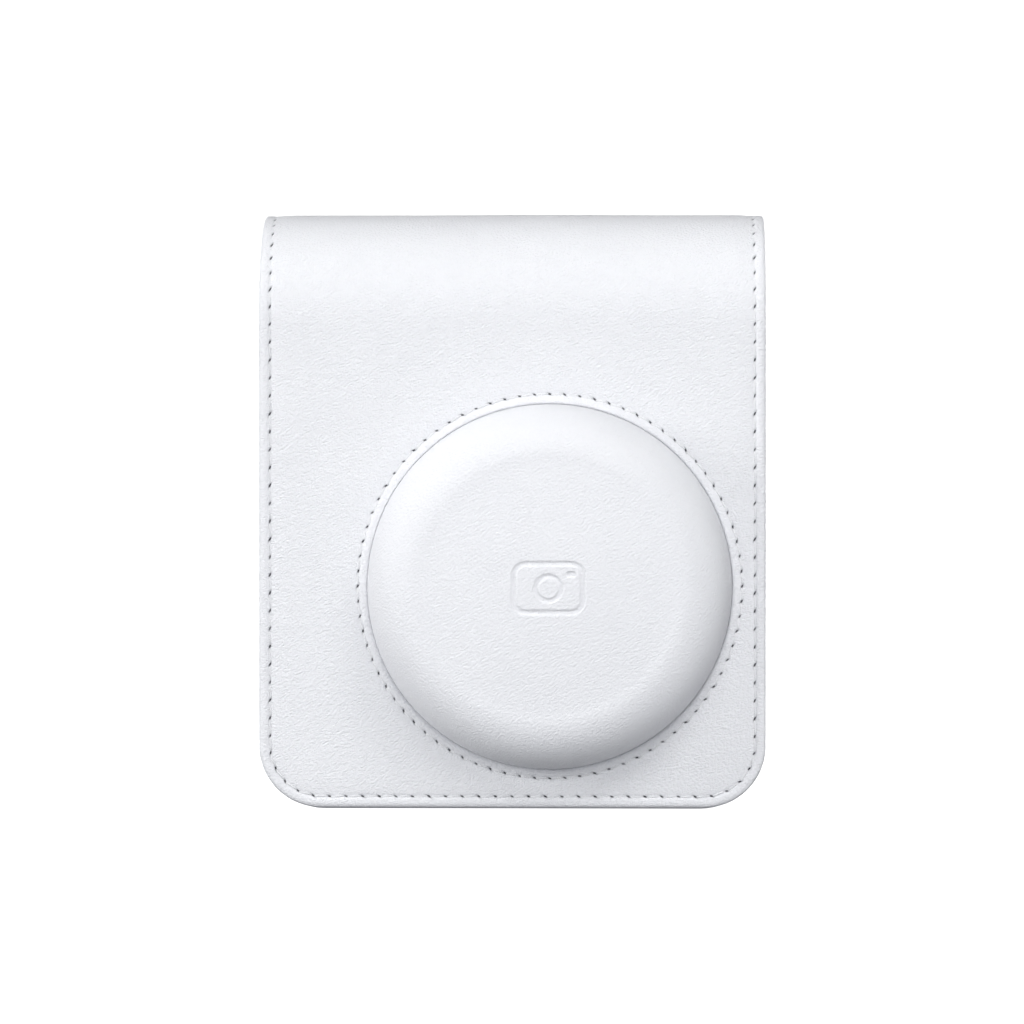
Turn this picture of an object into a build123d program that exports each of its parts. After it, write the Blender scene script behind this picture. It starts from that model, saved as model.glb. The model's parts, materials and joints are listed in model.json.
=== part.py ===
"""An instant camera closed in its fitted leatherette case.

The case is a padded strip that runs up the back, over the top and down the front as a flap, with a
moulded cup over the lens, and a gusset that forms the sides and the bottom. The camera sits in the
gusset. Millimetres, +Z up, the front faces -Y, the origin is at the centre of the footprint on the floor.
"""

import os
from math import cos, degrees, pi, radians, sin

from build123d import *

os.makedirs("parts", exist_ok=True)

# ---------------------------------------------------------------- driving dimensions of the case
CASE_WIDTH = 112.0
CASE_HEIGHT = 132.0
CASE_DEPTH = 71.0
CUP_HEIGHT = 16.3  # how far the lens cup stands out of the flap
CORNER_R = 13.8  # bottom corners of the flap and the back panel
TOP_BEND_R = 24.0  # the flap's bend from front to top
REAR_BEND_R = 9.0  # the bend from top to back
FLAP_BOTTOM = 0.4  # the flap's lower edge, just off the floor
LEATHER = 1.0
CORE = 1.2  # board in the front and back, foam in the top
LINING = 0.8
STRIP = LEATHER + CORE + LINING
HINGE_OUT = 1.0  # the folding axes lie this far outside the leather
BODY_GAP = 0.15  # each side of a folding line is cut back by this much

BACK_Y = CASE_DEPTH / 2
CUP_FRONT_Y = -CASE_DEPTH / 2
FLAP_Y = CUP_FRONT_Y + CUP_HEIGHT
TOP_BEND = (FLAP_Y + TOP_BEND_R, CASE_HEIGHT - TOP_BEND_R)  # bend centres as (y, z)
REAR_BEND = (BACK_Y - REAR_BEND_R, CASE_HEIGHT - REAR_BEND_R)
FOLD_ANGLE = 45.0  # both folding lines lie in the middle of their bends

SEAM_INSET = 2.5  # stitch line to the strip's edge
SEAM_GROOVE_W = 0.9
SEAM_GROOVE_D = 0.5
STITCH_PITCH = 3.8
STITCH = (2.6, 0.5, 0.35)  # length, width, thickness

LENS_X, LENS_Z = 8.3, 49.3
CUP_R = 40.2
CUP_FLANGE_R = 45.8
CUP_SEAM_R = 42.5
CUP_CROWN = 1.2
CUP_SHOULDER = 12.0
CUP_STITCHES = 80
CUP_LEATHER, CUP_FOAM, CUP_LINING = 1.0, 1.4, 0.6

GUSSET_INSET = 1.8
GUSSET_LEATHER, GUSSET_LINING = 1.0, 0.8
GUSSET_R = 12.5
GUSSET_CLEAR = 0.4  # below the flap
FRAME_T = 1.6
FRAME_W = 6.0
FRAME_TOP = 104.0
MAGNET_R = 4.0
MAGNET_X, MAGNET_Z = 44.6, 12.4

# ---------------------------------------------------------------- driving dimensions of the camera
CAM_W, CAM_H = 104.0, 122.0
CAM_FRONT_Y = FLAP_Y + STRIP + GUSSET_CLEAR + FRAME_T + 0.2
CAM_BACK_Y = BACK_Y - STRIP - 0.2
CAM_BOTTOM = GUSSET_LEATHER + GUSSET_LINING + 0.4
CAM_TOP = CAM_BOTTOM + CAM_H
CAM_CORNER_R = 14.0
CAM_EDGE_R = 12.0
CAM_WALL = 2.0
PART_Y = 12.0  # where the front and rear shells meet
FIT = 0.1

BARREL_R = 23.0
FINDER_X, FINDER_Z, FINDER_W = 40.8, 107.0, 9.0
FLASH_X, FLASH_Z, FLASH_W, FLASH_H = -20.0, 103.5, 26.0, 12.0
SENSOR_X, SENSOR_Z, SENSOR_R = 9.0, 104.0, 3.5
BUTTON_X, BUTTON_Z, BUTTON_R = -33.0, 66.0, 6.5
FILM_Y = 15.9  # the plane the film leaves in
FILM_W, FILM_H, FILM_STACK = 54.0, 86.0, 4.0
IMAGE_W, IMAGE_H = 46.0, 62.0
PACK_W, PACK_H, PACK_Y, PACK_D, PACK_WALL = 60.0, 90.0, 13.8, 13.0, 1.2
PACK_Z = LENS_Z + 4.0  # the image sits below the middle of the sheet
ROLLER_Z = 104.5
DRIVE_R, PINCH_R = 4.0, 3.0
NIP = 0.1  # each roller's distance from the film's plane
DRIVE_TEETH, PINCH_TEETH, PINION_TEETH = 20, 15, 10
DOOR_W, DOOR_H, DOOR_Z, DOOR_T = 66.0, 92.0, 53.0, 2.5
COUNTER_X, COUNTER_Z = -14.0, 30.0
BATTERY_X, BATTERY_R, BATTERY_L = -33.2, 7.1, 50.0
POST_X, POST_LOW, POST_HIGH = 45.0, 10.8, 115.6


def save(piece, name):
    """Labels a finished piece and writes its STEP file."""
    piece.part.label = name
    export_step(piece.part, f"parts/{name}.step")


def on_arc(centre, radius, angle):
    """The point of a circle at an angle in degrees."""
    return (centre[0] + radius * cos(radians(angle)), centre[1] + radius * sin(radians(angle)))


# ---------------------------------------------------------------- the strip: back, top and front flap


def strip_outline(segment, near, far):
    """Draws one segment's cross-section, from depth near to depth far under the leather's face."""
    bend_gap = degrees(BODY_GAP / TOP_BEND_R)
    rear_gap = degrees(BODY_GAP / REAR_BEND_R)
    if segment == "front":
        centre, radius, turn = TOP_BEND, TOP_BEND_R, 45 - bend_gap
        start, foot = 180, (FLAP_Y, FLAP_BOTTOM, 1)
    if segment == "back":
        centre, radius, turn = REAR_BEND, REAR_BEND_R, -(45 - rear_gap)
        start, foot = 0, (BACK_Y, 0.0, -1)
    if segment in ("front", "back"):
        y, z, inward = foot
        end = start - turn
        Line((y + inward * near, z), (y + inward * near, centre[1]))
        CenterArc(centre, radius - near, start, -turn)
        Line(on_arc(centre, radius - near, end), on_arc(centre, radius - far, end))
        CenterArc(centre, radius - far, start, -turn)
        Line((y + inward * far, centre[1]), (y + inward * far, z))
        Line((y + inward * far, z), (y + inward * near, z))
        return
    low, high = 135 - bend_gap, FOLD_ANGLE + rear_gap
    for depth in (near, far):
        CenterArc(TOP_BEND, TOP_BEND_R - depth, low, 90 - low)
        Line((TOP_BEND[0], CASE_HEIGHT - depth), (REAR_BEND[0], CASE_HEIGHT - depth))
        CenterArc(REAR_BEND, REAR_BEND_R - depth, 90, high - 90)
    Line(on_arc(TOP_BEND, TOP_BEND_R - near, low), on_arc(TOP_BEND, TOP_BEND_R - far, low))
    Line(on_arc(REAR_BEND, REAR_BEND_R - near, high), on_arc(REAR_BEND, REAR_BEND_R - far, high))


def panel_outline(inset, bottom, corner):
    """Draws a panel seen from the front: straight sides, rounded bottom corners, open-ended top."""
    with Locations((0, bottom + inset)):
        panel = Rectangle(CASE_WIDTH - 2 * inset, 2 * CASE_HEIGHT, align=(Align.CENTER, Align.MIN))
    fillet(panel.vertices().group_by(Axis.Y)[0], corner - inset)


def strip_layer(segment, near, far, inset=0.0):
    """One layer of one segment, cut to the strip's outline."""
    with BuildPart() as layer:
        with BuildSketch(Plane.YZ):
            with BuildLine():
                strip_outline(segment, near, far)
            make_face()
        extrude(amount=CASE_WIDTH / 2 - inset, both=True)
        with BuildSketch(Plane.XZ):
            panel_outline(inset, 0.0 if segment == "back" else FLAP_BOTTOM, CORNER_R)
        extrude(amount=CASE_DEPTH, both=True, mode=Mode.INTERSECT)
    return layer


def seam_groove(segment):
    """The channel that the edge stitches lie in."""
    bottom = 0.0 if segment == "back" else FLAP_BOTTOM
    inset = SEAM_INSET - SEAM_GROOVE_W / 2
    groove = strip_layer(segment, 0.0, SEAM_GROOVE_D, inset)
    with BuildPart() as core:
        with BuildSketch(Plane.XZ):
            panel_outline(inset + SEAM_GROOVE_W, bottom, CORNER_R)
        extrude(amount=CASE_DEPTH, both=True)
    return groove.part - core.part


def strip_place(segment, travel):
    """The (y, z, tangent angle) of the strip's face, at a distance along it from the segment's start.

    The front and the back start where their straight part ends and run up, and the top starts at the
    fold over the front.
    """
    if segment == "front":
        turn = degrees(travel / TOP_BEND_R)
        y, z = on_arc(TOP_BEND, TOP_BEND_R, 180 - turn)
        return y, z, 90 - turn
    if segment == "back":
        turn = degrees(travel / REAR_BEND_R)
        y, z = on_arc(REAR_BEND, REAR_BEND_R, turn)
        return y, z, 90 + turn
    bend, flat = radians(45) * TOP_BEND_R, REAR_BEND[0] - TOP_BEND[0]
    if travel < bend:
        turn = degrees(travel / TOP_BEND_R)
        y, z = on_arc(TOP_BEND, TOP_BEND_R, 135 - turn)
        return y, z, 45 - turn
    if travel < bend + flat:
        return TOP_BEND[0] + travel - bend, CASE_HEIGHT, 0
    turn = degrees((travel - bend - flat) / REAR_BEND_R)
    y, z = on_arc(REAR_BEND, REAR_BEND_R, 90 - turn)
    return y, z, -turn


def stitch_plane(x, y, z, along, outward):
    """A plane whose X runs along the stitch and whose Z leaves the leather, at the groove's rim."""
    sunk = Vector(x, y, z) - Vector(*outward) * 0.1
    return Plane(origin=sunk, x_dir=along, z_dir=outward)


def side_stitches(segment, length):
    """Stitches up both sides of a segment, over the given length of it."""
    planes = []
    count = int(length / STITCH_PITCH)
    for side in (-1, 1):
        for i in range(count):
            y, z, angle = strip_place(segment, (i + 0.5) * length / count)
            along = (0, cos(radians(angle)), sin(radians(angle)))
            face = -1 if segment == "back" else 1
            outward = (0, -face * along[2], face * along[1])
            planes.append(stitch_plane(side * (CASE_WIDTH / 2 - SEAM_INSET), y, z, along, outward))
    return planes


def panel_stitches(segment):
    """Stitches up the straight sides, round the corners and along the bottom of a flat panel."""
    bottom = 0.0 if segment == "back" else FLAP_BOTTOM
    y = BACK_Y if segment == "back" else FLAP_Y
    outward = (0, 1 if segment == "back" else -1, 0)
    top = REAR_BEND[1] if segment == "back" else TOP_BEND[1]
    radius = CORNER_R - SEAM_INSET
    half = CASE_WIDTH / 2 - SEAM_INSET
    low = bottom + SEAM_INSET
    planes = []
    up = top - low - radius
    for side in (-1, 1):
        count = round(up / STITCH_PITCH)
        for i in range(count):
            z = low + radius + (i + 0.5) * up / count
            planes.append(stitch_plane(side * half, y, z, (0, 0, 1), outward))
        count = round(radius * pi / 2 / STITCH_PITCH)
        for i in range(count):
            angle = radians(90 * (i + 0.5) / count)
            x = side * (half - radius + radius * sin(angle))
            z = low + radius - radius * cos(angle)
            planes.append(stitch_plane(x, y, z, (side * cos(angle), 0, sin(angle)), outward))
    across = 2 * (half - radius)
    count = round(across / STITCH_PITCH)
    for i in range(count):
        x = -across / 2 + (i + 0.5) * across / count
        planes.append(stitch_plane(x, y, low, (1, 0, 0), outward))
    return planes


def thread(planes):
    """A group of stitches, one small solid for each."""
    with BuildPart() as stitches:
        with Locations(*[plane.location for plane in planes]):
            Box(*STITCH, align=(Align.CENTER, Align.CENTER, Align.MAX))
    return stitches


def lens_plane(y):
    """The lens plane moved to a depth y."""
    return Plane(origin=(LENS_X, y, LENS_Z), x_dir=(1, 0, 0), z_dir=(0, -1, 0))


def disc_cut(piece, radius, y0, y1):
    """A round hole about the lens axis, from depth y0 forward to y1."""
    with BuildPart() as cut:
        add(piece.part)
        with BuildSketch(lens_plane(y0)):
            Circle(radius)
        extrude(amount=y0 - y1, mode=Mode.SUBTRACT)
    return cut


front_leather = disc_cut(strip_layer("front", 0.0, LEATHER), CUP_R, 0, CUP_FRONT_Y)
with BuildPart() as flap_leather:
    add(front_leather.part - seam_groove("front"))
    with BuildSketch(lens_plane(FLAP_Y + SEAM_GROOVE_D)):
        Circle(CUP_SEAM_R + SEAM_GROOVE_W / 2)
        Circle(CUP_SEAM_R - SEAM_GROOVE_W / 2, mode=Mode.SUBTRACT)
    extrude(amount=CASE_DEPTH, mode=Mode.SUBTRACT)
save(flap_leather, "flap_front_leather")

flap_board = disc_cut(strip_layer("front", LEATHER, LEATHER + CORE, 0.6), CUP_FLANGE_R + 0.2, 0, CUP_FRONT_Y)
with BuildPart() as flap_board_bored:
    add(flap_board.part)
    with BuildSketch(Plane.XZ):
        with Locations((-MAGNET_X, MAGNET_Z), (MAGNET_X, MAGNET_Z)):
            Circle(MAGNET_R + FIT)
    extrude(amount=CASE_DEPTH, both=True, mode=Mode.SUBTRACT)
save(flap_board_bored, "flap_front_board")

cup_inner_r = CUP_R - CUP_LEATHER - CUP_FOAM
flap_lining = disc_cut(strip_layer("front", LEATHER + CORE, STRIP, 0.6), cup_inner_r, 0, CUP_FRONT_Y)
save(flap_lining, "flap_front_lining")

with BuildPart() as flap_magnets:
    with BuildSketch(Plane.XZ.offset(-(FLAP_Y + LEATHER + CORE))):
        with Locations((-MAGNET_X, MAGNET_Z), (MAGNET_X, MAGNET_Z)):
            Circle(MAGNET_R)
    extrude(amount=CORE - 0.1)
save(flap_magnets, "flap_magnets")

with BuildPart() as top_leather:
    add(strip_layer("top", 0.0, LEATHER).part - seam_groove("top"))
save(top_leather, "flap_top_leather")
save(strip_layer("top", LEATHER, LEATHER + CORE, 0.6), "flap_top_padding")
save(strip_layer("top", LEATHER + CORE, STRIP, 0.6), "flap_top_lining")

top_length = radians(45) * (TOP_BEND_R + REAR_BEND_R) + REAR_BEND[0] - TOP_BEND[0]
bend_length = radians(45) * TOP_BEND_R
save(thread(panel_stitches("front") + side_stitches("front", bend_length - 1.0)), "flap_front_stitches")
save(thread(side_stitches("top", top_length)), "flap_top_stitches")

ring_planes = []
for i in range(CUP_STITCHES):
    angle = 2 * pi * i / CUP_STITCHES
    ring_x = LENS_X + CUP_SEAM_R * cos(angle)
    ring_z = LENS_Z + CUP_SEAM_R * sin(angle)
    ring_planes.append(stitch_plane(ring_x, FLAP_Y, ring_z, (-sin(angle), 0, cos(angle)), (0, -1, 0)))
save(thread(ring_planes), "lens_cup_stitches")


# ---------------------------------------------------------------- the moulded cup over the lens


def cup_section(depth):
    """Draws half of the cup's section at a depth under its face, as (radius, height over the flap)."""
    radius, height = CUP_R - depth, CUP_HEIGHT - depth
    edge, shoulder = height - CUP_CROWN, CUP_SHOULDER - depth
    wall_top, face_edge = (radius, edge - shoulder), (radius - shoulder, edge)
    middle = on_arc((radius - shoulder, edge - shoulder), shoulder, 45)
    Line((0, -STRIP), (radius, -STRIP))
    Line((radius, -STRIP), wall_top)
    ThreePointArc(wall_top, middle, face_edge)
    Spline(face_edge, (0, height), tangents=[(-1, 0.05), (-1, 0)])
    Line((0, height), (0, -STRIP))


def cup_layer(near, far, flange_top, flange_bottom):
    """A shell of the cup between two depths under its face, with a flange between two heights."""
    with BuildPart() as outer:
        with BuildSketch(Plane.XZ):
            with BuildLine():
                cup_section(near)
            make_face()
        revolve(axis=Axis.Z)
        if flange_top > flange_bottom:
            with BuildSketch(Plane.XY.offset(-STRIP)):
                Circle(CUP_R)
            extrude(amount=STRIP + flange_bottom, mode=Mode.SUBTRACT)
            with BuildSketch(Plane.XY.offset(flange_bottom)):
                Circle(CUP_FLANGE_R)
            extrude(amount=flange_top - flange_bottom)
    with BuildPart() as inner:
        with BuildSketch(Plane.XZ):
            with BuildLine():
                cup_section(far)
            make_face()
        revolve(axis=Axis.Z)
    shell = outer.part - inner.part
    with BuildPart() as layer:
        add(lens_plane(FLAP_Y).location * shell)
    return layer


half_core = LEATHER + CORE / 2
foam_inner = CUP_LEATHER + CUP_FOAM
save(cup_layer(0, CUP_LEATHER, -LEATHER, -half_core), "lens_cup_leather")
save(cup_layer(CUP_LEATHER, foam_inner, -half_core, -(LEATHER + CORE)), "lens_cup_foam")
save(cup_layer(foam_inner, foam_inner + CUP_LINING, -STRIP, -STRIP), "lens_cup_lining")


# ---------------------------------------------------------------- the back panel

FINDER_HOLE = 13.0
COUNTER_HOLE = (12.0, 9.0)


def back_layer(near, far, inset, margin):
    """One layer of the back panel, with openings for the eyepiece and the film counter."""
    with BuildPart() as layer:
        add(strip_layer("back", near, far, inset).part)
        with BuildSketch(Plane.XZ):
            with Locations((FINDER_X, FINDER_Z)):
                RectangleRounded(FINDER_HOLE + margin, FINDER_HOLE + margin, 4.0)
            with Locations((COUNTER_X, COUNTER_Z)):
                RectangleRounded(COUNTER_HOLE[0] + margin, COUNTER_HOLE[1] + margin, 2.5)
        extrude(amount=CASE_DEPTH, both=True, mode=Mode.SUBTRACT)
    return layer


with BuildPart() as back_leather:
    add(back_layer(0.0, LEATHER, 0.0, 0.0).part - seam_groove("back"))
save(back_leather, "back_leather")
save(back_layer(LEATHER, LEATHER + CORE, 0.6, 1.0), "back_board")
save(back_layer(LEATHER + CORE, STRIP, 0.6, 0.0), "back_lining")
rear_length = radians(45) * REAR_BEND_R
save(thread(panel_stitches("back") + side_stitches("back", rear_length - 0.6)), "back_stitches")


# ---------------------------------------------------------------- the gusset: both sides and the bottom


def gusset_side():
    """Draws the gusset as seen from the side: it follows the inside of the strip."""
    front = FLAP_Y + STRIP + GUSSET_CLEAR
    rear = BACK_Y - STRIP
    under = STRIP + GUSSET_CLEAR
    rear_r = REAR_BEND_R - under
    Polyline((rear, REAR_BEND[1]), (rear, 0), (front, 0), (front, TOP_BEND[1]))
    CenterArc(TOP_BEND, TOP_BEND_R - under, 180, -90)
    Line((TOP_BEND[0], CASE_HEIGHT - under), (REAR_BEND[0], CASE_HEIGHT - under))
    CenterArc(REAR_BEND, rear_r, 90, -90)
    Line((REAR_BEND[0] + rear_r, REAR_BEND[1]), (rear, REAR_BEND[1]))


def gusset_layer(near, far):
    """One layer of the gusset's U-shaped band, open at the top and the front."""
    with BuildPart() as band:
        with BuildSketch(Plane.YZ):
            with BuildLine():
                gusset_side()
            make_face()
        extrude(amount=CASE_WIDTH / 2, both=True)
        with BuildSketch(Plane.XZ):
            panel_outline(GUSSET_INSET + near, -GUSSET_INSET, GUSSET_R + GUSSET_INSET)
        extrude(amount=CASE_DEPTH, both=True, mode=Mode.INTERSECT)
        with BuildSketch(Plane.XZ):
            panel_outline(GUSSET_INSET + far, -GUSSET_INSET, GUSSET_R + GUSSET_INSET)
        extrude(amount=CASE_DEPTH, both=True, mode=Mode.SUBTRACT)
    return band


GUSSET_T = GUSSET_LEATHER + GUSSET_LINING
GUSSET_X = CASE_WIDTH / 2 - GUSSET_INSET  # its outer face
RIVET_R, RIVET_HEAD_R, RIVET_HEAD_T = 1.0, 2.2, 0.7
TAB_W, TAB_T, TAB_H = 9.0, 1.6, 14.0
RING_WIRE_R, RING_BORE_R, LOOP_R = 0.75, 0.80, 1.55
RING_HALF = 6.0
TAB_Y, TAB_Z = 22.0, 100.0  # where the ring's bar turns
LOOP_X = GUSSET_X + LOOP_R
RIVET_Z = TAB_Z + 9.0


def rivet_hole(piece):
    """Bores a gusset layer for the rivets that hold the ring tabs."""
    with BuildPart() as bored:
        add(piece.part)
        with BuildSketch(Plane.YZ):
            with Locations((TAB_Y, RIVET_Z)):
                Circle(RIVET_R)
        extrude(amount=CASE_WIDTH, both=True, mode=Mode.SUBTRACT)
    return bored


save(rivet_hole(gusset_layer(0.0, GUSSET_LEATHER)), "gusset_leather")
save(rivet_hole(gusset_layer(GUSSET_LEATHER, GUSSET_T)), "gusset_lining")

FRAME_FRONT_Y = FLAP_Y + STRIP + GUSSET_CLEAR
CORNER_TAB = 22.0  # the corner tabs fill the frame's corners up to the line x - z = CORNER_TAB


def frame_outline(inset):
    """The front frame's outline, a given distance inside the gusset."""
    panel_outline(GUSSET_INSET + GUSSET_T + inset, -GUSSET_INSET, GUSSET_R + GUSSET_INSET)


with BuildPart() as frame_tabs:
    with BuildSketch(Plane.XZ.offset(-FRAME_FRONT_Y)):
        for side in (-1, 1):
            corner = [(side * CORNER_TAB, 0), (side * (CORNER_TAB + 40), 0), (side * (CORNER_TAB + 40), 40)]
            with BuildLine():
                Polyline(*corner, close=True)
            make_face()
    extrude(amount=-FRAME_T)

with BuildPart() as front_frame:
    with BuildSketch(Plane.XZ.offset(-FRAME_FRONT_Y)):
        frame_outline(0.0)
        with Locations((0, FRAME_TOP)):
            Rectangle(CASE_WIDTH, 3 * CASE_HEIGHT, align=(Align.CENTER, Align.MIN), mode=Mode.SUBTRACT)
    extrude(amount=-FRAME_T)
    with BuildSketch(Plane.XZ):
        frame_outline(FRAME_W)
    extrude(amount=CASE_DEPTH, both=True, mode=Mode.SUBTRACT)

with BuildPart() as frame_body:
    add(frame_tabs.part)
    with BuildSketch(Plane.XZ):
        frame_outline(0.0)
    extrude(amount=CASE_DEPTH, both=True, mode=Mode.INTERSECT)
    add(front_frame.part)
    with BuildSketch(Plane.XZ.offset(-CAM_FRONT_Y)):
        with Locations((-MAGNET_X, MAGNET_Z), (MAGNET_X, MAGNET_Z)):
            Circle(MAGNET_R + 0.2)
    extrude(amount=FRAME_T / 2 + 0.2, mode=Mode.SUBTRACT)
save(frame_body, "front_frame")

with BuildPart() as strike_plates:
    with BuildSketch(Plane.XZ.offset(-(FRAME_FRONT_Y + FRAME_T))):
        with Locations((-MAGNET_X, MAGNET_Z), (MAGNET_X, MAGNET_Z)):
            Circle(MAGNET_R)
    extrude(amount=FRAME_T / 2 - 0.1)
save(strike_plates, "strike_plates")


# ---------------------------------------------------------------- strap rings and their tabs

with BuildPart() as ring_tabs:
    with BuildSketch(Plane.XZ.offset(-(TAB_Y + TAB_W / 2))):
        for side in (-1, 1):
            with Locations((side * LOOP_X, TAB_Z)):
                Circle(LOOP_R)
            with Locations((side * (GUSSET_X + TAB_T / 2), TAB_Z)):
                Rectangle(TAB_T, TAB_H, align=(Align.CENTER, Align.MIN))
            with Locations((side * LOOP_X, TAB_Z)):
                Circle(RING_BORE_R, mode=Mode.SUBTRACT)
    extrude(amount=TAB_W)
    with BuildSketch(Plane.YZ):
        with Locations((TAB_Y, RIVET_Z)):
            Circle(RIVET_R)
    extrude(amount=CASE_WIDTH, both=True, mode=Mode.SUBTRACT)
save(ring_tabs, "ring_tabs")


def strap_ring(side):
    """A D-shaped wire ring: a straight bar in the tab and a round bow that hangs below it."""
    bend = 0.9
    bow_z = TAB_Z - 4.0
    flat = RING_HALF - bend
    with BuildPart() as ring:
        with BuildLine(Plane.YZ.offset(side * LOOP_X)) as bow:
            Line((TAB_Y - flat, TAB_Z), (TAB_Y + flat, TAB_Z))
            CenterArc((TAB_Y, bow_z), RING_HALF, 180, 180)
            for end in (-1, 1):
                CenterArc((TAB_Y + end * flat, TAB_Z - bend), bend, 90, -90 * end)
                Line((TAB_Y + end * RING_HALF, TAB_Z - bend), (TAB_Y + end * RING_HALF, bow_z))
        path = bow.wires()[0]
        with BuildSketch(Plane(origin=path @ 0, z_dir=path % 0)):
            Circle(RING_WIRE_R)
        sweep(path=path)
    return ring


def tab_rivets():
    """Both rivets: a low dome outside and a shank through the tab and the gusset."""
    shank = TAB_T + GUSSET_T
    with BuildPart() as rivets:
        for side in (-1, 1):
            seat = Plane(origin=(side * (GUSSET_X + TAB_T), TAB_Y, RIVET_Z), z_dir=(side, 0, 0))
            with BuildSketch(seat):
                Circle(RIVET_HEAD_R)
            extrude(amount=RIVET_HEAD_T, taper=25)
            with BuildSketch(seat):
                Circle(RIVET_R)
            extrude(amount=-shank)
    return rivets


save(strap_ring(-1), "strap_ring_left")
save(strap_ring(1), "strap_ring_right")
save(tab_rivets(), "tab_rivets")


# ---------------------------------------------------------------- the camera's shells


def front_of(y):
    """The front-view plane at depth y, whose Z points forward."""
    return Plane.XZ.offset(-y)


def slab(low, high, mode=Mode.ADD):
    """A box between two opposite corners."""
    size = [end - start for start, end in zip(low, high)]
    with Locations(low):
        Box(*size, align=(Align.MIN, Align.MIN, Align.MIN), mode=mode)


def pin(x, z, radius, y0, y1, mode=Mode.ADD):
    """A cylinder that runs from front to back."""
    with Locations((x, (y0 + y1) / 2, z)):
        Cylinder(radius, y1 - y0, rotation=(90, 0, 0), mode=mode)


def axle(y, z, radius, x0, x1, mode=Mode.ADD):
    """A cylinder that runs from left to right."""
    with Locations(((x0 + x1) / 2, y, z)):
        Cylinder(radius, x1 - x0, rotation=(0, 90, 0), mode=mode)


def upright(x, y, radius, z0, z1, mode=Mode.ADD):
    """A cylinder that runs from bottom to top."""
    with Locations((x, y, (z0 + z1) / 2)):
        Cylinder(radius, z1 - z0, mode=mode)


def camera_block(y_face, inset, edge):
    """A rounded block from the parting plane to a filleted face at y_face."""
    with BuildPart() as block:
        with BuildSketch(front_of(PART_Y)):
            with Locations((0, CAM_BOTTOM + CAM_H / 2)):
                RectangleRounded(CAM_W - 2 * inset, CAM_H - 2 * inset, CAM_CORNER_R - inset)
        extrude(amount=PART_Y - y_face)
        face = block.faces().sort_by(Axis.Y)[0 if y_face < PART_Y else -1]
        fillet(face.edges(), edge)
    return block.part


POSTS = [(side * POST_X, z) for side in (-1, 1) for z in (POST_LOW, POST_HIGH)]
POST_R, SCREW_R = 3.0, 1.0
BOARD_Y, BOARD_T = -6.0, 1.2
STANDOFFS = [(-45.5, 88.0), (-26.5, 88.0), (-46.0, 64.0)]
front_solid = camera_block(CAM_FRONT_Y, 0.0, CAM_EDGE_R)
front_wall = front_solid - camera_block(CAM_FRONT_Y + CAM_WALL, CAM_WALL, CAM_EDGE_R - CAM_WALL)

with BuildPart() as front_shell:
    add(front_wall)
    for x, z in POSTS:
        pin(x, z, POST_R, CAM_FRONT_Y + 6.0, PART_Y)
        pin(x, z, SCREW_R, 0.0, PART_Y, Mode.SUBTRACT)
    for x, z in STANDOFFS:
        pin(x, z, 1.6, CAM_FRONT_Y + 1.0, BOARD_Y)
    with BuildSketch(front_of(BOARD_Y)):
        with Locations((LENS_X, LENS_Z)):
            Circle(BARREL_R + FIT)
        with Locations((FINDER_X, FINDER_Z)):
            RectangleRounded(FINDER_W, FINDER_W, 2.0)
        with Locations((FLASH_X, FLASH_Z)):
            RectangleRounded(FLASH_W, FLASH_H, 4.0)
        with Locations((SENSOR_X, SENSOR_Z)):
            Circle(SENSOR_R)
        with Locations((BUTTON_X, BUTTON_Z)):
            Circle(BUTTON_R + 0.3)
    extrude(amount=CASE_DEPTH, mode=Mode.SUBTRACT)
    add(front_solid, mode=Mode.INTERSECT)
save(front_shell, "front_shell")

with BuildPart() as finder_window:
    with BuildSketch(front_of(BOARD_Y)):
        with Locations((FINDER_X, FINDER_Z)):
            RectangleRounded(FINDER_W, FINDER_W, 2.0)
    extrude(amount=CASE_DEPTH)
    add(front_wall, mode=Mode.INTERSECT)
save(finder_window, "viewfinder_window")

with BuildPart() as flash_window:
    with BuildSketch(front_of(BOARD_Y)):
        with Locations((FLASH_X, FLASH_Z)):
            RectangleRounded(FLASH_W, FLASH_H, 4.0)
    extrude(amount=CASE_DEPTH)
    add(front_wall, mode=Mode.INTERSECT)
save(flash_window, "flash_window")

with BuildPart() as sensor_window:
    pin(SENSOR_X, SENSOR_Z, SENSOR_R, CAM_FRONT_Y, CAM_FRONT_Y + CAM_WALL)
save(sensor_window, "light_sensor_window")

REAR_IN_Y = CAM_BACK_Y - CAM_WALL
DOOR_IN_Y = CAM_BACK_Y - DOOR_T
EYEPIECE_W = 8.0
MODULE = 2 * (DRIVE_R + PINCH_R + 2 * NIP) / (DRIVE_TEETH + PINCH_TEETH)
DRIVE_Y, PINCH_Y = FILM_Y + NIP + DRIVE_R, FILM_Y - NIP - PINCH_R
PINION_ANGLE = 54.0
PINION_Y, PINION_Z = on_arc((DRIVE_Y, ROLLER_Z), MODULE * (DRIVE_TEETH + PINION_TEETH) / 2, PINION_ANGLE)
MOTOR_R = 6.0
LATCH_X, LATCH_Z = -30.0, 60.0
LATCH_T, LATCH_TRAVEL = 1.2, 3.0
PIN_X, PIN_Y = 43.6, 28.2
KNUCKLE_R = 1.9
HINGES = (29.0, 81.0)
rear_solid = camera_block(CAM_BACK_Y, 0.0, CAM_EDGE_R / 2)
rear_wall = rear_solid - camera_block(REAR_IN_Y, CAM_WALL, CAM_EDGE_R / 2 - CAM_WALL)

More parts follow.
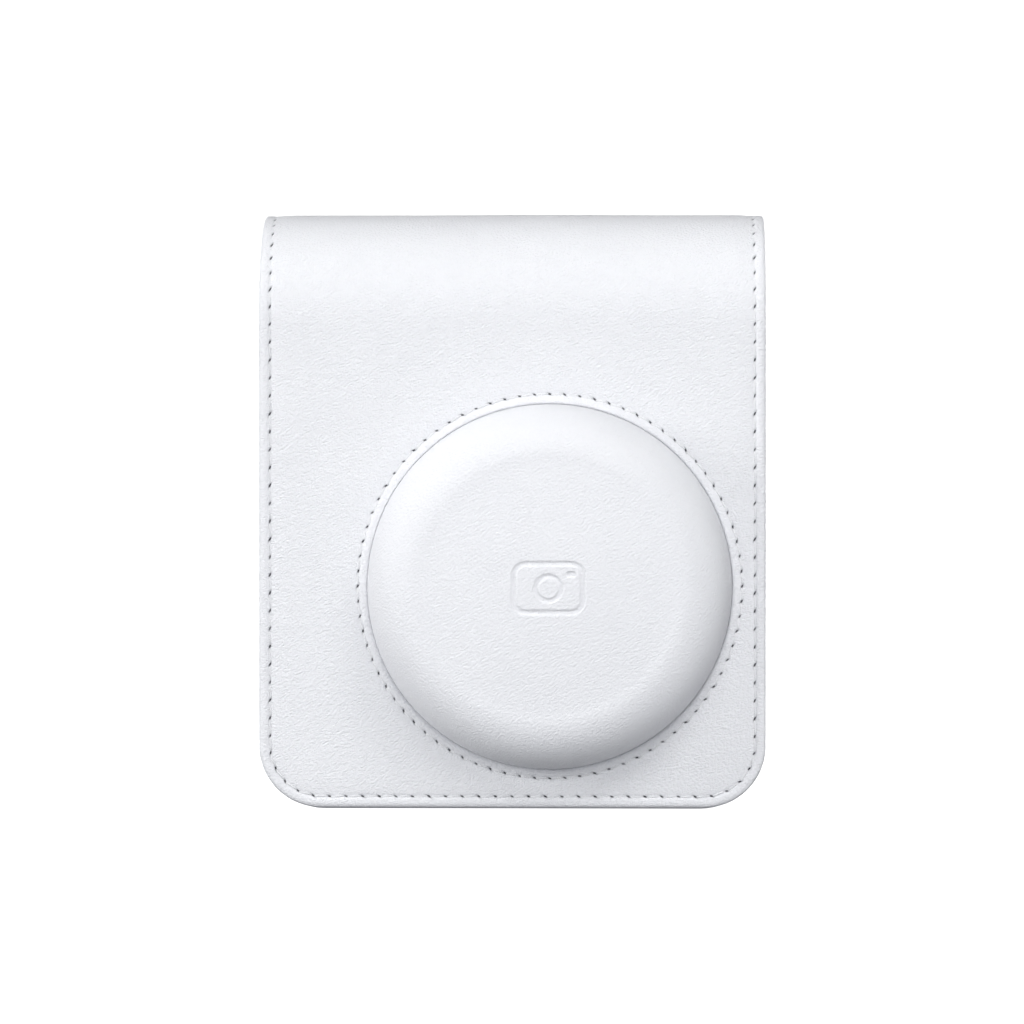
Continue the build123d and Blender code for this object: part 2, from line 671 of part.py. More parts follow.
with BuildPart() as rear_shell:
    add(rear_wall)
    for x, z in POSTS:
        pin(x, z, POST_R, PART_Y, REAR_IN_Y + 1.0)
        pin(x, z, SCREW_R, PART_Y, REAR_IN_Y, Mode.SUBTRACT)
        pin(x, z, 2.3, PART_Y + 4.0, CAM_BACK_Y, Mode.SUBTRACT)
    for x in (-40.0, -29.0):
        slab((x, PINION_Y, 103.0), (x + 2.0, REAR_IN_Y + 1.0, 116.0))
    axle(PINION_Y, PINION_Z, MOTOR_R, -42.0, -26.0, Mode.SUBTRACT)
    for z in HINGES:
        slab((PIN_X - 1.8, PIN_Y - KNUCKLE_R, z - 9.0), (PIN_X + 2.2, REAR_IN_Y + 1.0, z - 5.2))
        slab((PIN_X - 1.8, PIN_Y - KNUCKLE_R, z + 5.2), (PIN_X + 2.2, REAR_IN_Y + 1.0, z + 9.0))
    upright(PIN_X, PIN_Y, 1.0, 0.0, CAM_TOP, Mode.SUBTRACT)
    with BuildSketch(front_of(CAM_BACK_Y)):
        with Locations((LENS_X, DOOR_Z)):
            RectangleRounded(DOOR_W + 0.4, DOOR_H + 0.4, 3.2)
        with Locations((FINDER_X, FINDER_Z)):
            RectangleRounded(EYEPIECE_W, EYEPIECE_W, 1.5)
    extrude(amount=DOOR_T + FIT, mode=Mode.SUBTRACT)
    slot = (LENS_X - FILM_W / 2 - 2.0, FILM_Y - 1.9, CAM_TOP - CAM_WALL)
    slab(slot, (LENS_X + FILM_W / 2 + 2.0, FILM_Y + 1.9, CAM_TOP), Mode.SUBTRACT)
    recess = (LATCH_X - 4.2, CAM_BACK_Y - LATCH_T - 0.1, LATCH_Z - 6.2)
    slab(recess, (LATCH_X + 4.2, CAM_BACK_Y, LATCH_Z + 6.2 + LATCH_TRAVEL), Mode.SUBTRACT)
    slit = (LATCH_X - 1.7, REAR_IN_Y, LATCH_Z - 2.2)
    slab(slit, (LATCH_X + 1.7, CAM_BACK_Y, LATCH_Z + 2.2 + LATCH_TRAVEL), Mode.SUBTRACT)
save(rear_shell, "rear_shell")

with BuildPart() as shell_screws:
    for x, z in POSTS:
        pin(x, z, SCREW_R, 2.0, PART_Y + 4.0)
        pin(x, z, 2.1, PART_Y + 4.0, PART_Y + 5.6)
        slab((x - 1.2, PART_Y + 5.0, z - 0.25), (x + 1.2, PART_Y + 5.6, z + 0.25), Mode.SUBTRACT)
        slab((x - 0.25, PART_Y + 5.0, z - 1.2), (x + 0.25, PART_Y + 5.6, z + 1.2), Mode.SUBTRACT)
save(shell_screws, "shell_screws")


# ---------------------------------------------------------------- the film door, its latch and the counter

WHEEL_X, WHEEL_R, WHEEL_T = COUNTER_X + 5.0, 8.0, 1.2
WINDOW_W, WINDOW_H = 8.0, 5.0
TOOTH_Z = LATCH_Z - 4.0

with BuildPart() as film_door:
    with BuildSketch(front_of(CAM_BACK_Y)):
        with Locations((LENS_X, DOOR_Z)):
            RectangleRounded(DOOR_W, DOOR_H, 3.0)
    extrude(amount=DOOR_T)
    for z in HINGES:
        slab((PIN_X - 6.0, PIN_Y - 1.0, z - 5.0), (PIN_X, PIN_Y + 1.0, z + 5.0))
        slab((PIN_X - 6.0, PIN_Y - 1.0, z - 5.0), (PIN_X - 3.0, DOOR_IN_Y, z + 5.0))
        upright(PIN_X, PIN_Y, KNUCKLE_R, z - 5.0, z + 5.0)
    upright(PIN_X, PIN_Y, 1.0 + FIT, 0.0, CAM_TOP, Mode.SUBTRACT)
    for x in (-6.0, 24.0):
        slab((x, PACK_Y + PACK_D, DOOR_Z - 10), (x + 4.0, DOOR_IN_Y, DOOR_Z + 30))
    slab((-24.2, 27.4, TOOTH_Z), (-22.8, DOOR_IN_Y, TOOTH_Z + 3.2))
    slab((-27.0, 27.4, TOOTH_Z), (-22.8, 28.4, TOOTH_Z + 3.2))
    pin(WHEEL_X, COUNTER_Z, 0.8, DOOR_IN_Y - 2.4, DOOR_IN_Y)
    with BuildSketch(front_of(CAM_BACK_Y)):
        with Locations((COUNTER_X, COUNTER_Z)):
            RectangleRounded(WINDOW_W, WINDOW_H, 1.0)
    extrude(amount=DOOR_T, mode=Mode.SUBTRACT)
save(film_door, "film_door")

with BuildPart() as counter_window:
    with BuildSketch(front_of(CAM_BACK_Y)):
        with Locations((COUNTER_X, COUNTER_Z)):
            RectangleRounded(WINDOW_W, WINDOW_H, 1.0)
    extrude(amount=1.2)
save(counter_window, "counter_window")

with BuildPart() as counter_wheel:
    pin(WHEEL_X, COUNTER_Z, WHEEL_R, DOOR_IN_Y - 0.4 - WHEEL_T, DOOR_IN_Y - 0.4)
    with BuildSketch(front_of(DOOR_IN_Y - 0.4)):
        with Locations((WHEEL_X, COUNTER_Z)):
            with PolarLocations(WHEEL_R, 24):
                Circle(0.4)
    extrude(amount=WHEEL_T, mode=Mode.SUBTRACT)
    pin(WHEEL_X, COUNTER_Z, 0.88, 0.0, CAM_BACK_Y, Mode.SUBTRACT)
save(counter_wheel, "counter_wheel")

with BuildPart() as door_pin:
    upright(PIN_X, PIN_Y, 1.0, HINGES[0] - 9.0, HINGES[1] + 9.0)
save(door_pin, "door_pin")

with BuildPart() as door_latch:
    latch_in_y = CAM_BACK_Y - LATCH_T
    slab((LATCH_X - 4.0, latch_in_y, LATCH_Z - 6.0), (LATCH_X + 4.0, CAM_BACK_Y, LATCH_Z + 6.0))
    for step in range(5):
        rib_z = LATCH_Z - 4.0 + 2.0 * step
        rib = (LATCH_X - 3.0, CAM_BACK_Y - 0.4, rib_z - 0.5)
        slab(rib, (LATCH_X + 3.0, CAM_BACK_Y, rib_z + 0.5), Mode.SUBTRACT)
    slab((LATCH_X - 1.5, REAR_IN_Y - 0.8, LATCH_Z - 2.0), (LATCH_X + 1.5, latch_in_y, LATCH_Z + 2.0))
    slab((LATCH_X - 3.0, REAR_IN_Y - 1.6, TOOTH_Z + 1.0), (LATCH_X + 5.4, REAR_IN_Y - 0.6, TOOTH_Z + 9.0))
save(door_latch, "door_latch")


# ---------------------------------------------------------------- the viewfinder and the flash

with BuildPart() as finder_tunnel:
    slab(
        (FINDER_X - FINDER_W / 2, CAM_FRONT_Y + 7.0, FINDER_Z - FINDER_W / 2),
        (FINDER_X + FINDER_W / 2, REAR_IN_Y - FIT, FINDER_Z + FINDER_W / 2),
    )
    slab(
        (FINDER_X - FINDER_W / 2 + 0.8, CAM_FRONT_Y, FINDER_Z - FINDER_W / 2 + 0.8),
        (FINDER_X + FINDER_W / 2 - 0.8, CAM_BACK_Y, FINDER_Z + FINDER_W / 2 - 0.8),
        Mode.SUBTRACT,
    )
save(finder_tunnel, "viewfinder_tunnel")

with BuildPart() as eyepiece_lens:
    with BuildSketch(front_of(REAR_IN_Y)):
        with Locations((FINDER_X, FINDER_Z)):
            RectangleRounded(EYEPIECE_W - 2 * FIT, EYEPIECE_W - 2 * FIT, 1.4)
    extrude(amount=-3.0)
    fillet(eyepiece_lens.faces().sort_by(Axis.Y)[-1].edges(), 0.8)
save(eyepiece_lens, "eyepiece_lens")

FLASH_BACK_Y = CAM_FRONT_Y + 11.0
SHEET = 0.8

with BuildPart() as flash_reflector:
    with BuildSketch(Plane.YZ.offset(FLASH_X - FLASH_W / 2 + 1.0)):
        with BuildLine():
            mouth = CAM_FRONT_Y + CAM_WALL + FIT
            Line((mouth, FLASH_Z + FLASH_H / 2), (mouth, FLASH_Z + FLASH_H / 2 - SHEET))
            ThreePointArc(
                (mouth, FLASH_Z + FLASH_H / 2 - SHEET),
                (FLASH_BACK_Y - SHEET, FLASH_Z),
                (mouth, FLASH_Z - FLASH_H / 2 + SHEET),
            )
            Line((mouth, FLASH_Z - FLASH_H / 2 + SHEET), (mouth, FLASH_Z - FLASH_H / 2))
            ThreePointArc(
                (mouth, FLASH_Z - FLASH_H / 2),
                (FLASH_BACK_Y, FLASH_Z),
                (mouth, FLASH_Z + FLASH_H / 2),
            )
        make_face()
    extrude(amount=FLASH_W - 2.0)
save(flash_reflector, "flash_reflector")

with BuildPart() as flash_tube:
    axle(FLASH_BACK_Y - 4.0, FLASH_Z, 1.3, FLASH_X - FLASH_W / 2 + 1.0, FLASH_X + FLASH_W / 2 - 1.0)
save(flash_tube, "flash_tube")


# ---------------------------------------------------------------- the lens and the shutter

LENS_SECTION = Plane(origin=(LENS_X, CAM_FRONT_Y, LENS_Z), x_dir=(1, 0, 0), z_dir=(0, 0, -1))
LENS_AXIS = Axis((LENS_X, 0, LENS_Z), (0, -1, 0))
BARREL_FRONT, BARREL_BACK = 16.0, -6.0  # heights over the camera's front face
BARREL_BORE = 20.5
GLASS_R, GLASS_SEAT, GLASS_EDGE, GLASS_TOP = 9.4, 4.0, 6.0, 8.0
MODE_RING_R, MODE_RING_BORE, MODE_RING_LOW, MODE_RING_HIGH = 28.5, 23.08, 2.4, 13.0
KNURLS = 60

with BuildPart() as lens_base_ring:
    with BuildSketch(front_of(CAM_FRONT_Y)):
        with Locations((LENS_X, LENS_Z)):
            Circle(MODE_RING_R + 2.8)
            Circle(BARREL_R + 1.0, mode=Mode.SUBTRACT)
    extrude(amount=2.0)
    chamfer(lens_base_ring.faces().sort_by(Axis.Y)[0].outer_wire().edges(), 0.8)
save(lens_base_ring, "lens_base_ring")

with BuildPart() as mode_ring:
    with BuildSketch(front_of(CAM_FRONT_Y - MODE_RING_LOW)):
        with Locations((LENS_X, LENS_Z)):
            Circle(MODE_RING_R)
            Circle(MODE_RING_BORE, mode=Mode.SUBTRACT)
    extrude(amount=MODE_RING_HIGH - MODE_RING_LOW)
    chamfer(mode_ring.faces().sort_by(Axis.Y)[0].outer_wire().edges(), 1.0)
    with BuildSketch(front_of(CAM_FRONT_Y - MODE_RING_LOW - 2.0)):
        with Locations((LENS_X, LENS_Z)):
            with PolarLocations(MODE_RING_R, KNURLS):
                Circle(0.6)
    extrude(amount=CASE_DEPTH, mode=Mode.SUBTRACT)
save(mode_ring, "mode_ring")

with BuildPart() as lens_barrel:
    with BuildSketch(LENS_SECTION):
        with BuildLine():
            Polyline(
                (BARREL_R, BARREL_BACK),
                (BARREL_R, MODE_RING_HIGH + 0.4),
                (BARREL_R + 1.4, MODE_RING_HIGH + 0.4),
                (BARREL_R + 1.4, BARREL_FRONT),
                (BARREL_BORE, BARREL_FRONT),
                (GLASS_R + FIT, GLASS_TOP + 1.0),
                (GLASS_R + FIT, GLASS_SEAT),
                (GLASS_R - 1.2, GLASS_SEAT),
                (GLASS_R - 1.2, GLASS_SEAT - 2.0),
                (BARREL_BORE, GLASS_SEAT - 2.0),
                (BARREL_BORE, BARREL_BACK),
                close=True,
            )
        make_face()
    revolve(axis=LENS_AXIS)
save(lens_barrel, "lens_barrel")

with BuildPart() as front_lens:
    with BuildSketch(LENS_SECTION):
        with BuildLine():
            Polyline((0, GLASS_TOP), (0, GLASS_SEAT), (GLASS_R, GLASS_SEAT), (GLASS_R, GLASS_EDGE))
            TangentArc((0, GLASS_TOP), (GLASS_R, GLASS_EDGE), tangent=(1, 0))
        make_face()
    revolve(axis=LENS_AXIS)
save(front_lens, "front_lens")

APERTURE_R = 4.0
BLADE_X = LENS_X + 12.0
PLATE_Y = CAM_FRONT_Y - BARREL_BACK - 1.5  # the shutter plate's front face

with BuildPart() as shutter_plate:
    pin(LENS_X, LENS_Z, BARREL_BORE - FIT, PLATE_Y, PLATE_Y + 1.0)
    pin(LENS_X, LENS_Z, APERTURE_R, PLATE_Y, PLATE_Y + 1.0, Mode.SUBTRACT)
    pin(BLADE_X, LENS_Z, 0.8, PLATE_Y - 0.9, PLATE_Y)
    pin(BLADE_X, LENS_Z, 1.5, PLATE_Y - 1.3, PLATE_Y - 0.9)
save(shutter_plate, "shutter_plate")

with BuildPart() as shutter_blade:
    with BuildSketch(front_of(PLATE_Y - 0.2)):
        with Locations((LENS_X, LENS_Z)):
            Circle(APERTURE_R + 1.5)
        with Locations((BLADE_X, LENS_Z)):
            Circle(2.5)
        with Locations(((LENS_X + BLADE_X) / 2, LENS_Z)):
            Rectangle(BLADE_X - LENS_X, 3.0)
        with Locations((BLADE_X, LENS_Z)):
            Circle(0.88, mode=Mode.SUBTRACT)
    extrude(amount=0.4)
save(shutter_blade, "shutter_blade")

BOX_WALL = 1.5

with BuildPart() as light_box:
    for margin, mode in ((BOX_WALL, Mode.ADD), (0.0, Mode.SUBTRACT)):
        with BuildSketch(front_of(CAM_FRONT_Y - BARREL_BACK + FIT)):
            with Locations((LENS_X, LENS_Z)):
                Rectangle(25.0 + 2 * margin, 25.0 + 2 * margin)
        with BuildSketch(front_of(PACK_Y - FIT)):
            with Locations((LENS_X, LENS_Z)):
                Rectangle(IMAGE_W + 2.0 + 2 * margin, IMAGE_H + 2.0 + 2 * margin)
        loft(mode=mode)
save(light_box, "light_box")


# ---------------------------------------------------------------- film, rollers and their drive

PACK_X0, PACK_Z0 = LENS_X - PACK_W / 2, PACK_Z - PACK_H / 2
PACK_X1, PACK_Z1 = PACK_X0 + PACK_W, PACK_Z0 + PACK_H
PACK_BACK_Y = PACK_Y + PACK_D

with BuildPart() as film_pack:
    slab((PACK_X0, PACK_Y, PACK_Z0), (PACK_X1, PACK_BACK_Y, PACK_Z1))
    slab(
        (PACK_X0 + PACK_WALL, PACK_Y + PACK_WALL, PACK_Z0 + PACK_WALL),
        (PACK_X1 - PACK_WALL, PACK_BACK_Y - PACK_WALL, PACK_Z1 - PACK_WALL),
        Mode.SUBTRACT,
    )
    slab(
        (LENS_X - IMAGE_W / 2, PACK_Y, LENS_Z - IMAGE_H / 2),
        (LENS_X + IMAGE_W / 2, PACK_Y + PACK_WALL, LENS_Z + IMAGE_H / 2),
        Mode.SUBTRACT,
    )
    slab(
        (LENS_X - FILM_W / 2 - 0.5, PACK_Y + PACK_WALL, PACK_Z1 - PACK_WALL),
        (LENS_X + FILM_W / 2 + 0.5, FILM_Y + 1.0, PACK_Z1),
        Mode.SUBTRACT,
    )
save(film_pack, "film_pack")

with BuildPart() as film_sheets:
    slab(
        (LENS_X - FILM_W / 2, PACK_Y + PACK_WALL, PACK_Z - FILM_H / 2),
        (LENS_X + FILM_W / 2, PACK_Y + PACK_WALL + FILM_STACK, PACK_Z + FILM_H / 2),
    )
save(film_sheets, "film_sheets")

ROLLER_X0, ROLLER_X1 = -18.5, 34.5
GEAR_X0, GEAR_T = -24.5, 2.9
DRIVE_SHAFT_R, PINCH_SHAFT_R, PINION_SHAFT_R = 1.5, 1.2, 0.8
BRACKET_X = ((-21.0, -19.0), (34.8, 36.0))
MOTOR_X = -26.0  # the face the shaft comes out of


def gear_outline(centre, teeth, phase):
    """Draws a gear with straight-sided teeth, the first of them at the phase angle."""
    half = 0.21 * 360 / teeth
    root, tip = MODULE * (teeth / 2 - 1.1), MODULE * (teeth / 2 + 0.8)
    points = []
    for i in range(teeth):
        middle = phase + i * 360 / teeth
        for radius, spread in ((root, -1.5), (tip, -0.6), (tip, 0.6), (root, 1.5)):
            points.append(on_arc(centre, radius, middle + spread * half))
    Polyline(*points, close=True)


with BuildPart() as drive_roller:
    with BuildSketch(Plane.YZ.offset(GEAR_X0)):
        with BuildLine():
            gear_outline((DRIVE_Y, ROLLER_Z), DRIVE_TEETH, 0.0)
        make_face()
    extrude(amount=GEAR_T)
    axle(DRIVE_Y, ROLLER_Z, DRIVE_SHAFT_R, GEAR_X0, BRACKET_X[1][1])
    axle(DRIVE_Y, ROLLER_Z, DRIVE_R, ROLLER_X0, ROLLER_X1)
save(drive_roller, "drive_roller")

with BuildPart() as pinch_roller:
    with BuildSketch(Plane.YZ.offset(GEAR_X0)):
        with BuildLine():
            gear_outline((PINCH_Y, ROLLER_Z), PINCH_TEETH, 12.0)
        make_face()
    extrude(amount=GEAR_T)
    axle(PINCH_Y, ROLLER_Z, PINCH_SHAFT_R, GEAR_X0, BRACKET_X[1][1])
    axle(PINCH_Y, ROLLER_Z, PINCH_R, ROLLER_X0, ROLLER_X1)
save(pinch_roller, "pinch_roller")

with BuildPart() as motor_pinion:
    with BuildSketch(Plane.YZ.offset(GEAR_X0)):
        with BuildLine():
            gear_outline((PINION_Y, PINION_Z), PINION_TEETH, 0.0)
        make_face()
    extrude(amount=GEAR_T)
    axle(PINION_Y, PINION_Z, PINION_SHAFT_R, MOTOR_X - 5.0, GEAR_X0 + GEAR_T)
save(motor_pinion, "motor_pinion")

with BuildPart() as film_motor:
    axle(PINION_Y, PINION_Z, MOTOR_R - FIT, MOTOR_X - 15.0, MOTOR_X - 0.6)
    axle(PINION_Y, PINION_Z, 2.0, MOTOR_X - 0.6, MOTOR_X)
    axle(PINION_Y, PINION_Z, PINION_SHAFT_R + FIT, MOTOR_X - 5.5, MOTOR_X, Mode.SUBTRACT)
save(film_motor, "film_motor")

BAR_Y0, BAR_Y1 = 25.0, 27.5
BRACKET_Z0, BRACKET_Z1 = 99.6, 109.0

with BuildPart() as roller_brackets:
    for x0, x1 in BRACKET_X:
        slab((x0, PINCH_Y - 4.0, BRACKET_Z0), (x1, BAR_Y1, BRACKET_Z1))
        slab((x0, BAR_Y1, BRACKET_Z0), (x1, REAR_IN_Y, BRACKET_Z0 + 3.0))
    slab((BRACKET_X[0][0], BAR_Y0, BRACKET_Z0), (BRACKET_X[1][1], BAR_Y1, BRACKET_Z0 + 3.0))
    axle(DRIVE_Y, ROLLER_Z, DRIVE_SHAFT_R + FIT, -CAM_W, CAM_W, Mode.SUBTRACT)
    axle(PINCH_Y, ROLLER_Z, PINCH_SHAFT_R + FIT, -CAM_W, CAM_W, Mode.SUBTRACT)
save(roller_brackets, "roller_brackets")


# ---------------------------------------------------------------- batteries, electronics, shutter button

CELL_Y = (0.0, 18.0)
CELL_Z0 = 9.2
CELL_Z1 = CELL_Z0 + BATTERY_L
TRAY_X0, TRAY_X1 = BATTERY_X - BATTERY_R - 1.3, BATTERY_X + BATTERY_R + 1.0
TRAY_Y0, TRAY_Y1 = CELL_Y[0] - BATTERY_R - 1.1, CELL_Y[1] + BATTERY_R + 1.1
CONTACT_T = 0.4
TRAY_WALL = 0.8

with BuildPart() as battery_tray:
    slab(
        (TRAY_X0, TRAY_Y0, CELL_Z0 - CONTACT_T - TRAY_WALL),
        (TRAY_X1, TRAY_Y1, CELL_Z1 + CONTACT_T + TRAY_WALL),
    )
    slab(
        (TRAY_X0, TRAY_Y0 + TRAY_WALL, CELL_Z0 - CONTACT_T),
        (TRAY_X1 - TRAY_WALL, TRAY_Y1 - TRAY_WALL, CELL_Z1 + CONTACT_T),
        Mode.SUBTRACT,
    )
    slab((TRAY_X1 - 6.0, 8.6, CELL_Z0 - CONTACT_T), (TRAY_X1, 9.4, CELL_Z1 + CONTACT_T))
save(battery_tray, "battery_tray")

with BuildPart() as battery_cells:
    for y in CELL_Y:
        upright(BATTERY_X, y, BATTERY_R, CELL_Z0, CELL_Z1 - 1.0)
        upright(BATTERY_X, y, 2.6, CELL_Z1 - 1.0, CELL_Z1)
save(battery_cells, "battery_cells")

with BuildPart() as battery_contacts:
    for y in CELL_Y:
        for z in (CELL_Z0 - CONTACT_T, CELL_Z1):
            slab((BATTERY_X - 5.0, y - 5.0, z), (BATTERY_X + 5.0, y + 5.0, z + CONTACT_T))
save(battery_contacts, "battery_contacts")

BOARD_BACK_Y = BOARD_Y + BOARD_T
SWITCH_Y = BOARD_Y - 2.9

with BuildPart() as circuit_board:
    slab((-48.0, BOARD_Y, 61.5), (-24.0, BOARD_BACK_Y, 95.0))
    slab((BUTTON_X - 3.0, BOARD_Y - 2.0, BUTTON_Z - 3.0), (BUTTON_X + 3.0, BOARD_Y, BUTTON_Z + 3.0))
    pin(BUTTON_X, BUTTON_Z, 1.4, SWITCH_Y, BOARD_Y)
    slab((-32.0, BOARD_BACK_Y, 72.0), (-25.0, BOARD_BACK_Y + 1.4, 82.0))
    slab((-33.0, BOARD_BACK_Y, 86.0), (-29.0, BOARD_BACK_Y + 3.0, 92.0))
save(circuit_board, "circuit_board")

with BuildPart() as flash_capacitor:
    upright(-40.0, BOARD_BACK_Y + 5.0, 5.0, 64.0, 94.0)
save(flash_capacitor, "flash_capacitor")

with BuildPart() as shutter_button:
    pin(BUTTON_X, BUTTON_Z, BUTTON_R, CAM_FRONT_Y - 1.0, CAM_FRONT_Y + 3.0)
    fillet(shutter_button.faces().sort_by(Axis.Y)[0].edges(), 0.6)
    pin(BUTTON_X, BUTTON_Z, BUTTON_R + 1.2, CAM_FRONT_Y + CAM_WALL + FIT, CAM_FRONT_Y + 3.0)
    pin(BUTTON_X, BUTTON_Z, 2.0, CAM_FRONT_Y + 3.0, SWITCH_Y - 1.3)
save(shutter_button, "shutter_button")
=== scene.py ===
"""Looks for the instant camera in its leatherette case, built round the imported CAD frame.

The padded strip, the moulded lens cup, the gusset and every stitch are fine closed meshes. The camera
inside keeps its CAD shapes and gets plastic, glass and metal materials. Lengths are in millimetres here.
"""

import json
from math import cos, pi, radians, sin

import bmesh
import bpy
import numpy as np
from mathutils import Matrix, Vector
from mathutils.geometry import delaunay_2d_cdt


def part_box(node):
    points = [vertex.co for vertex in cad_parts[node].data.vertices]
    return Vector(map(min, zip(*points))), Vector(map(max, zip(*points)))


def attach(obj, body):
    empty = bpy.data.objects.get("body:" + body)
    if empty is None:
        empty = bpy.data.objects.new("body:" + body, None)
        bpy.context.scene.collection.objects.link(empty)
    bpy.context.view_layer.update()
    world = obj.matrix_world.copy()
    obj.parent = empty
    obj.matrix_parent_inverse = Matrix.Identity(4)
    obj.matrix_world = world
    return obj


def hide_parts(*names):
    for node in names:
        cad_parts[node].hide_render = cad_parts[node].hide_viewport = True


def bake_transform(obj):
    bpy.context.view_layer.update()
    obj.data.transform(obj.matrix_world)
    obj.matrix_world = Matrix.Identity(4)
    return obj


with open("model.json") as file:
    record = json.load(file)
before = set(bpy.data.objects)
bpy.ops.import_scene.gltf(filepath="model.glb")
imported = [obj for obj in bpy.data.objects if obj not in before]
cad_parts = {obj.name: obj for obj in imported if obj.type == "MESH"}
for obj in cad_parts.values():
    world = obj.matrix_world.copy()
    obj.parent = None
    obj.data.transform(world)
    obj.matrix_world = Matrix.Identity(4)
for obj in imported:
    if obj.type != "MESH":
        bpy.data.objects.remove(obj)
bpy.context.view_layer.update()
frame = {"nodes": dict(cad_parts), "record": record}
nodes = frame["nodes"]
MM = 0.001


def span(node):
    """A CAD node's lowest and highest corner in millimetres."""
    low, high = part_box(node)
    return low / MM, high / MM


# ---- dimensions read from the frame

flap_low, flap_high = span("flap_front_leather")
HALF_W = flap_high.x
FLAP_Y = flap_low.y
FLAP_FOOT = flap_low.z
TOP_Z = span("flap_top_leather")[1].z
BACK_Y = span("back_leather")[1].y
STRIP_T = 3.0
FRONT_BEND, REAR_BEND = 24.0, 9.0
CORNER_R = 13.8
MID_Y = (FLAP_Y + FRONT_BEND + BACK_Y - REAR_BEND) / 2
cup_low, cup_high = span("lens_cup_leather")
CUP_X = (cup_low.x + cup_high.x) / 2
CUP_Z = (cup_low.z + cup_high.z) / 2
CUP_H = FLAP_Y - cup_low.y

SEAM = 2.5  # the stitch line's distance from the edge
RING_R = 42.4  # the stitch line round the cup
RING_COUNT = 80


# ---- camera, floor and light

VIEW_TURN = radians(1.4)
VIEW_RISE = radians(0.6)
VIEW_DISTANCE = 1100.0
VIEW_HEIGHT = 65.7
FIELD_W = 225.8  # what the picture's width shows at the flap's face
SENSOR_W = 36.0
VIEW_END = 50.0
WHITE = (1.0, 1.0, 1.0)
FLOOR_HALF, FLOOR_DROP, FLOOR_GLOW = 6.0, 0.0002, 1.1
BACKDROP_GLOW = 1.2
AMBIENT_COLOUR = (0.93, 0.95, 1.0)
AMBIENT, AMBIENT_BACK = 0.45, 0.08  # light from the front and from behind
AIM = Vector((0.0, 0.0, 0.06))
LIGHT_REACH, LIGHT_SIZE = 1.9, 0.7  # metres
LIGHTS = [  # name, degrees round from the front, degrees up, watts
    ("left", -75, 15, 16.8),
    ("front_low", 0, 15, 10.0),
    ("front_high", 0, 45, 5.9),
    ("right", 55, 10, 2.2),
    ("upper_right", 35, 50, 8.2),
    ("rear_right", 150, 2, 17.0),
    ("rear_left", -150, 2, 14.0),
]


def link(name, data):
    """A scene object that holds some data."""
    obj = bpy.data.objects.new(name, data)
    bpy.context.scene.collection.objects.link(obj)
    return obj


def heading(turn, rise, length):
    """A vector of some length, turned round from the front and raised from level."""
    level = length * cos(rise)
    return Vector((level * sin(turn), -level * cos(turn), length * sin(rise)))


def face_along(obj, direction):
    """Turns a camera or a light to look along a direction."""
    obj.rotation_euler = direction.to_track_quat("-Z", "Y").to_euler()


def add_camera():
    """A nearly level view, from a little right of straight on."""
    data = bpy.data.cameras.new("view")
    data.sensor_width = SENSOR_W
    data.lens = SENSOR_W * VIEW_DISTANCE / FIELD_W
    data.clip_end = VIEW_END
    camera = link("view", data)
    target = Vector((0.0, FLAP_Y, VIEW_HEIGHT)) * MM
    away = heading(VIEW_TURN, VIEW_RISE, VIEW_DISTANCE) * MM
    camera.location = target + away
    face_along(camera, -away)
    bpy.context.scene.camera = camera


def add_floor():
    """A pale floor that the camera sees as white."""
    mesh = bpy.data.meshes.new("floor")
    corners = [(FLOOR_HALF * x, FLOOR_HALF * y, 0) for x, y in ((-1, -1), (1, -1), (1, 1), (-1, 1))]
    mesh.from_pydata(corners, [], [(0, 1, 2, 3)])
    floor = link("floor", mesh)
    floor.location.z = -FLOOR_DROP
    glow = {"emission_color": (*WHITE, 1.0), "emission_strength": FLOOR_GLOW}
    mesh.materials.append(material("floor_white", (0.9, 0.9, 0.9), 0.9, **glow)[0])
    floor.visible_diffuse = False
    floor.visible_glossy = False
    floor.visible_shadow = False


def add_world():
    """A soft surround, dimmer behind the object, that the camera sees as white."""
    world = bpy.data.worlds.new("studio")
    world.use_nodes = True
    bpy.context.scene.world = world
    tree = world.node_tree
    tree.nodes.clear()
    out = add_node(tree, "OutputWorld")
    seen = add_node(tree, "Background", Color=WHITE, Strength=BACKDROP_GLOW)
    ambient = add_node(tree, "Background", Color=AMBIENT_COLOUR)
    split = add_node(tree, "SeparateXYZ", Vector=add_node(tree, "TexCoord").outputs["Generated"])
    level = ramp(tree, split.outputs["Y"], -1.0, 0.6, AMBIENT, AMBIENT_BACK)
    tree.links.new(level, ambient.inputs["Strength"])
    mix = add_node(tree, "MixShader")
    path = add_node(tree, "LightPath")
    sockets = (path.outputs["Is Camera Ray"], ambient.outputs[0], seen.outputs[0])
    for socket, value in zip(mix.inputs, sockets):
        tree.links.new(value, socket)
    tree.links.new(mix.outputs[0], out.inputs["Surface"])


def add_lights():
    """A ring of soft boxes in front, strongest from the left and above, and two low ones for the back."""
    for name, turn, rise, power in LIGHTS:
        data = bpy.data.lights.new(name, "AREA")
        data.shape = "RECTANGLE"
        data.size = data.size_y = LIGHT_SIZE
        data.energy = power
        light = link(name, data)
        away = heading(radians(turn), radians(rise), LIGHT_REACH)
        light.location = AIM + away
        face_along(light, -away)


# ---- materials


def material(name, colour, roughness, metallic=0.0, **inputs):
    """A material with one Principled shader; constant inputs are set straight on it."""
    mat = bpy.data.materials.new(name)
    mat.use_nodes = True
    tree = mat.node_tree
    shader = tree.nodes["Principled BSDF"]
    shader.inputs["Base Color"].default_value = (*colour, 1.0)
    shader.inputs["Roughness"].default_value = roughness
    shader.inputs["Metallic"].default_value = metallic
    for label, value in inputs.items():
        shader.inputs[label.replace("_", " ").title().replace("Ior", "IOR")].default_value = value
    return mat, tree, shader


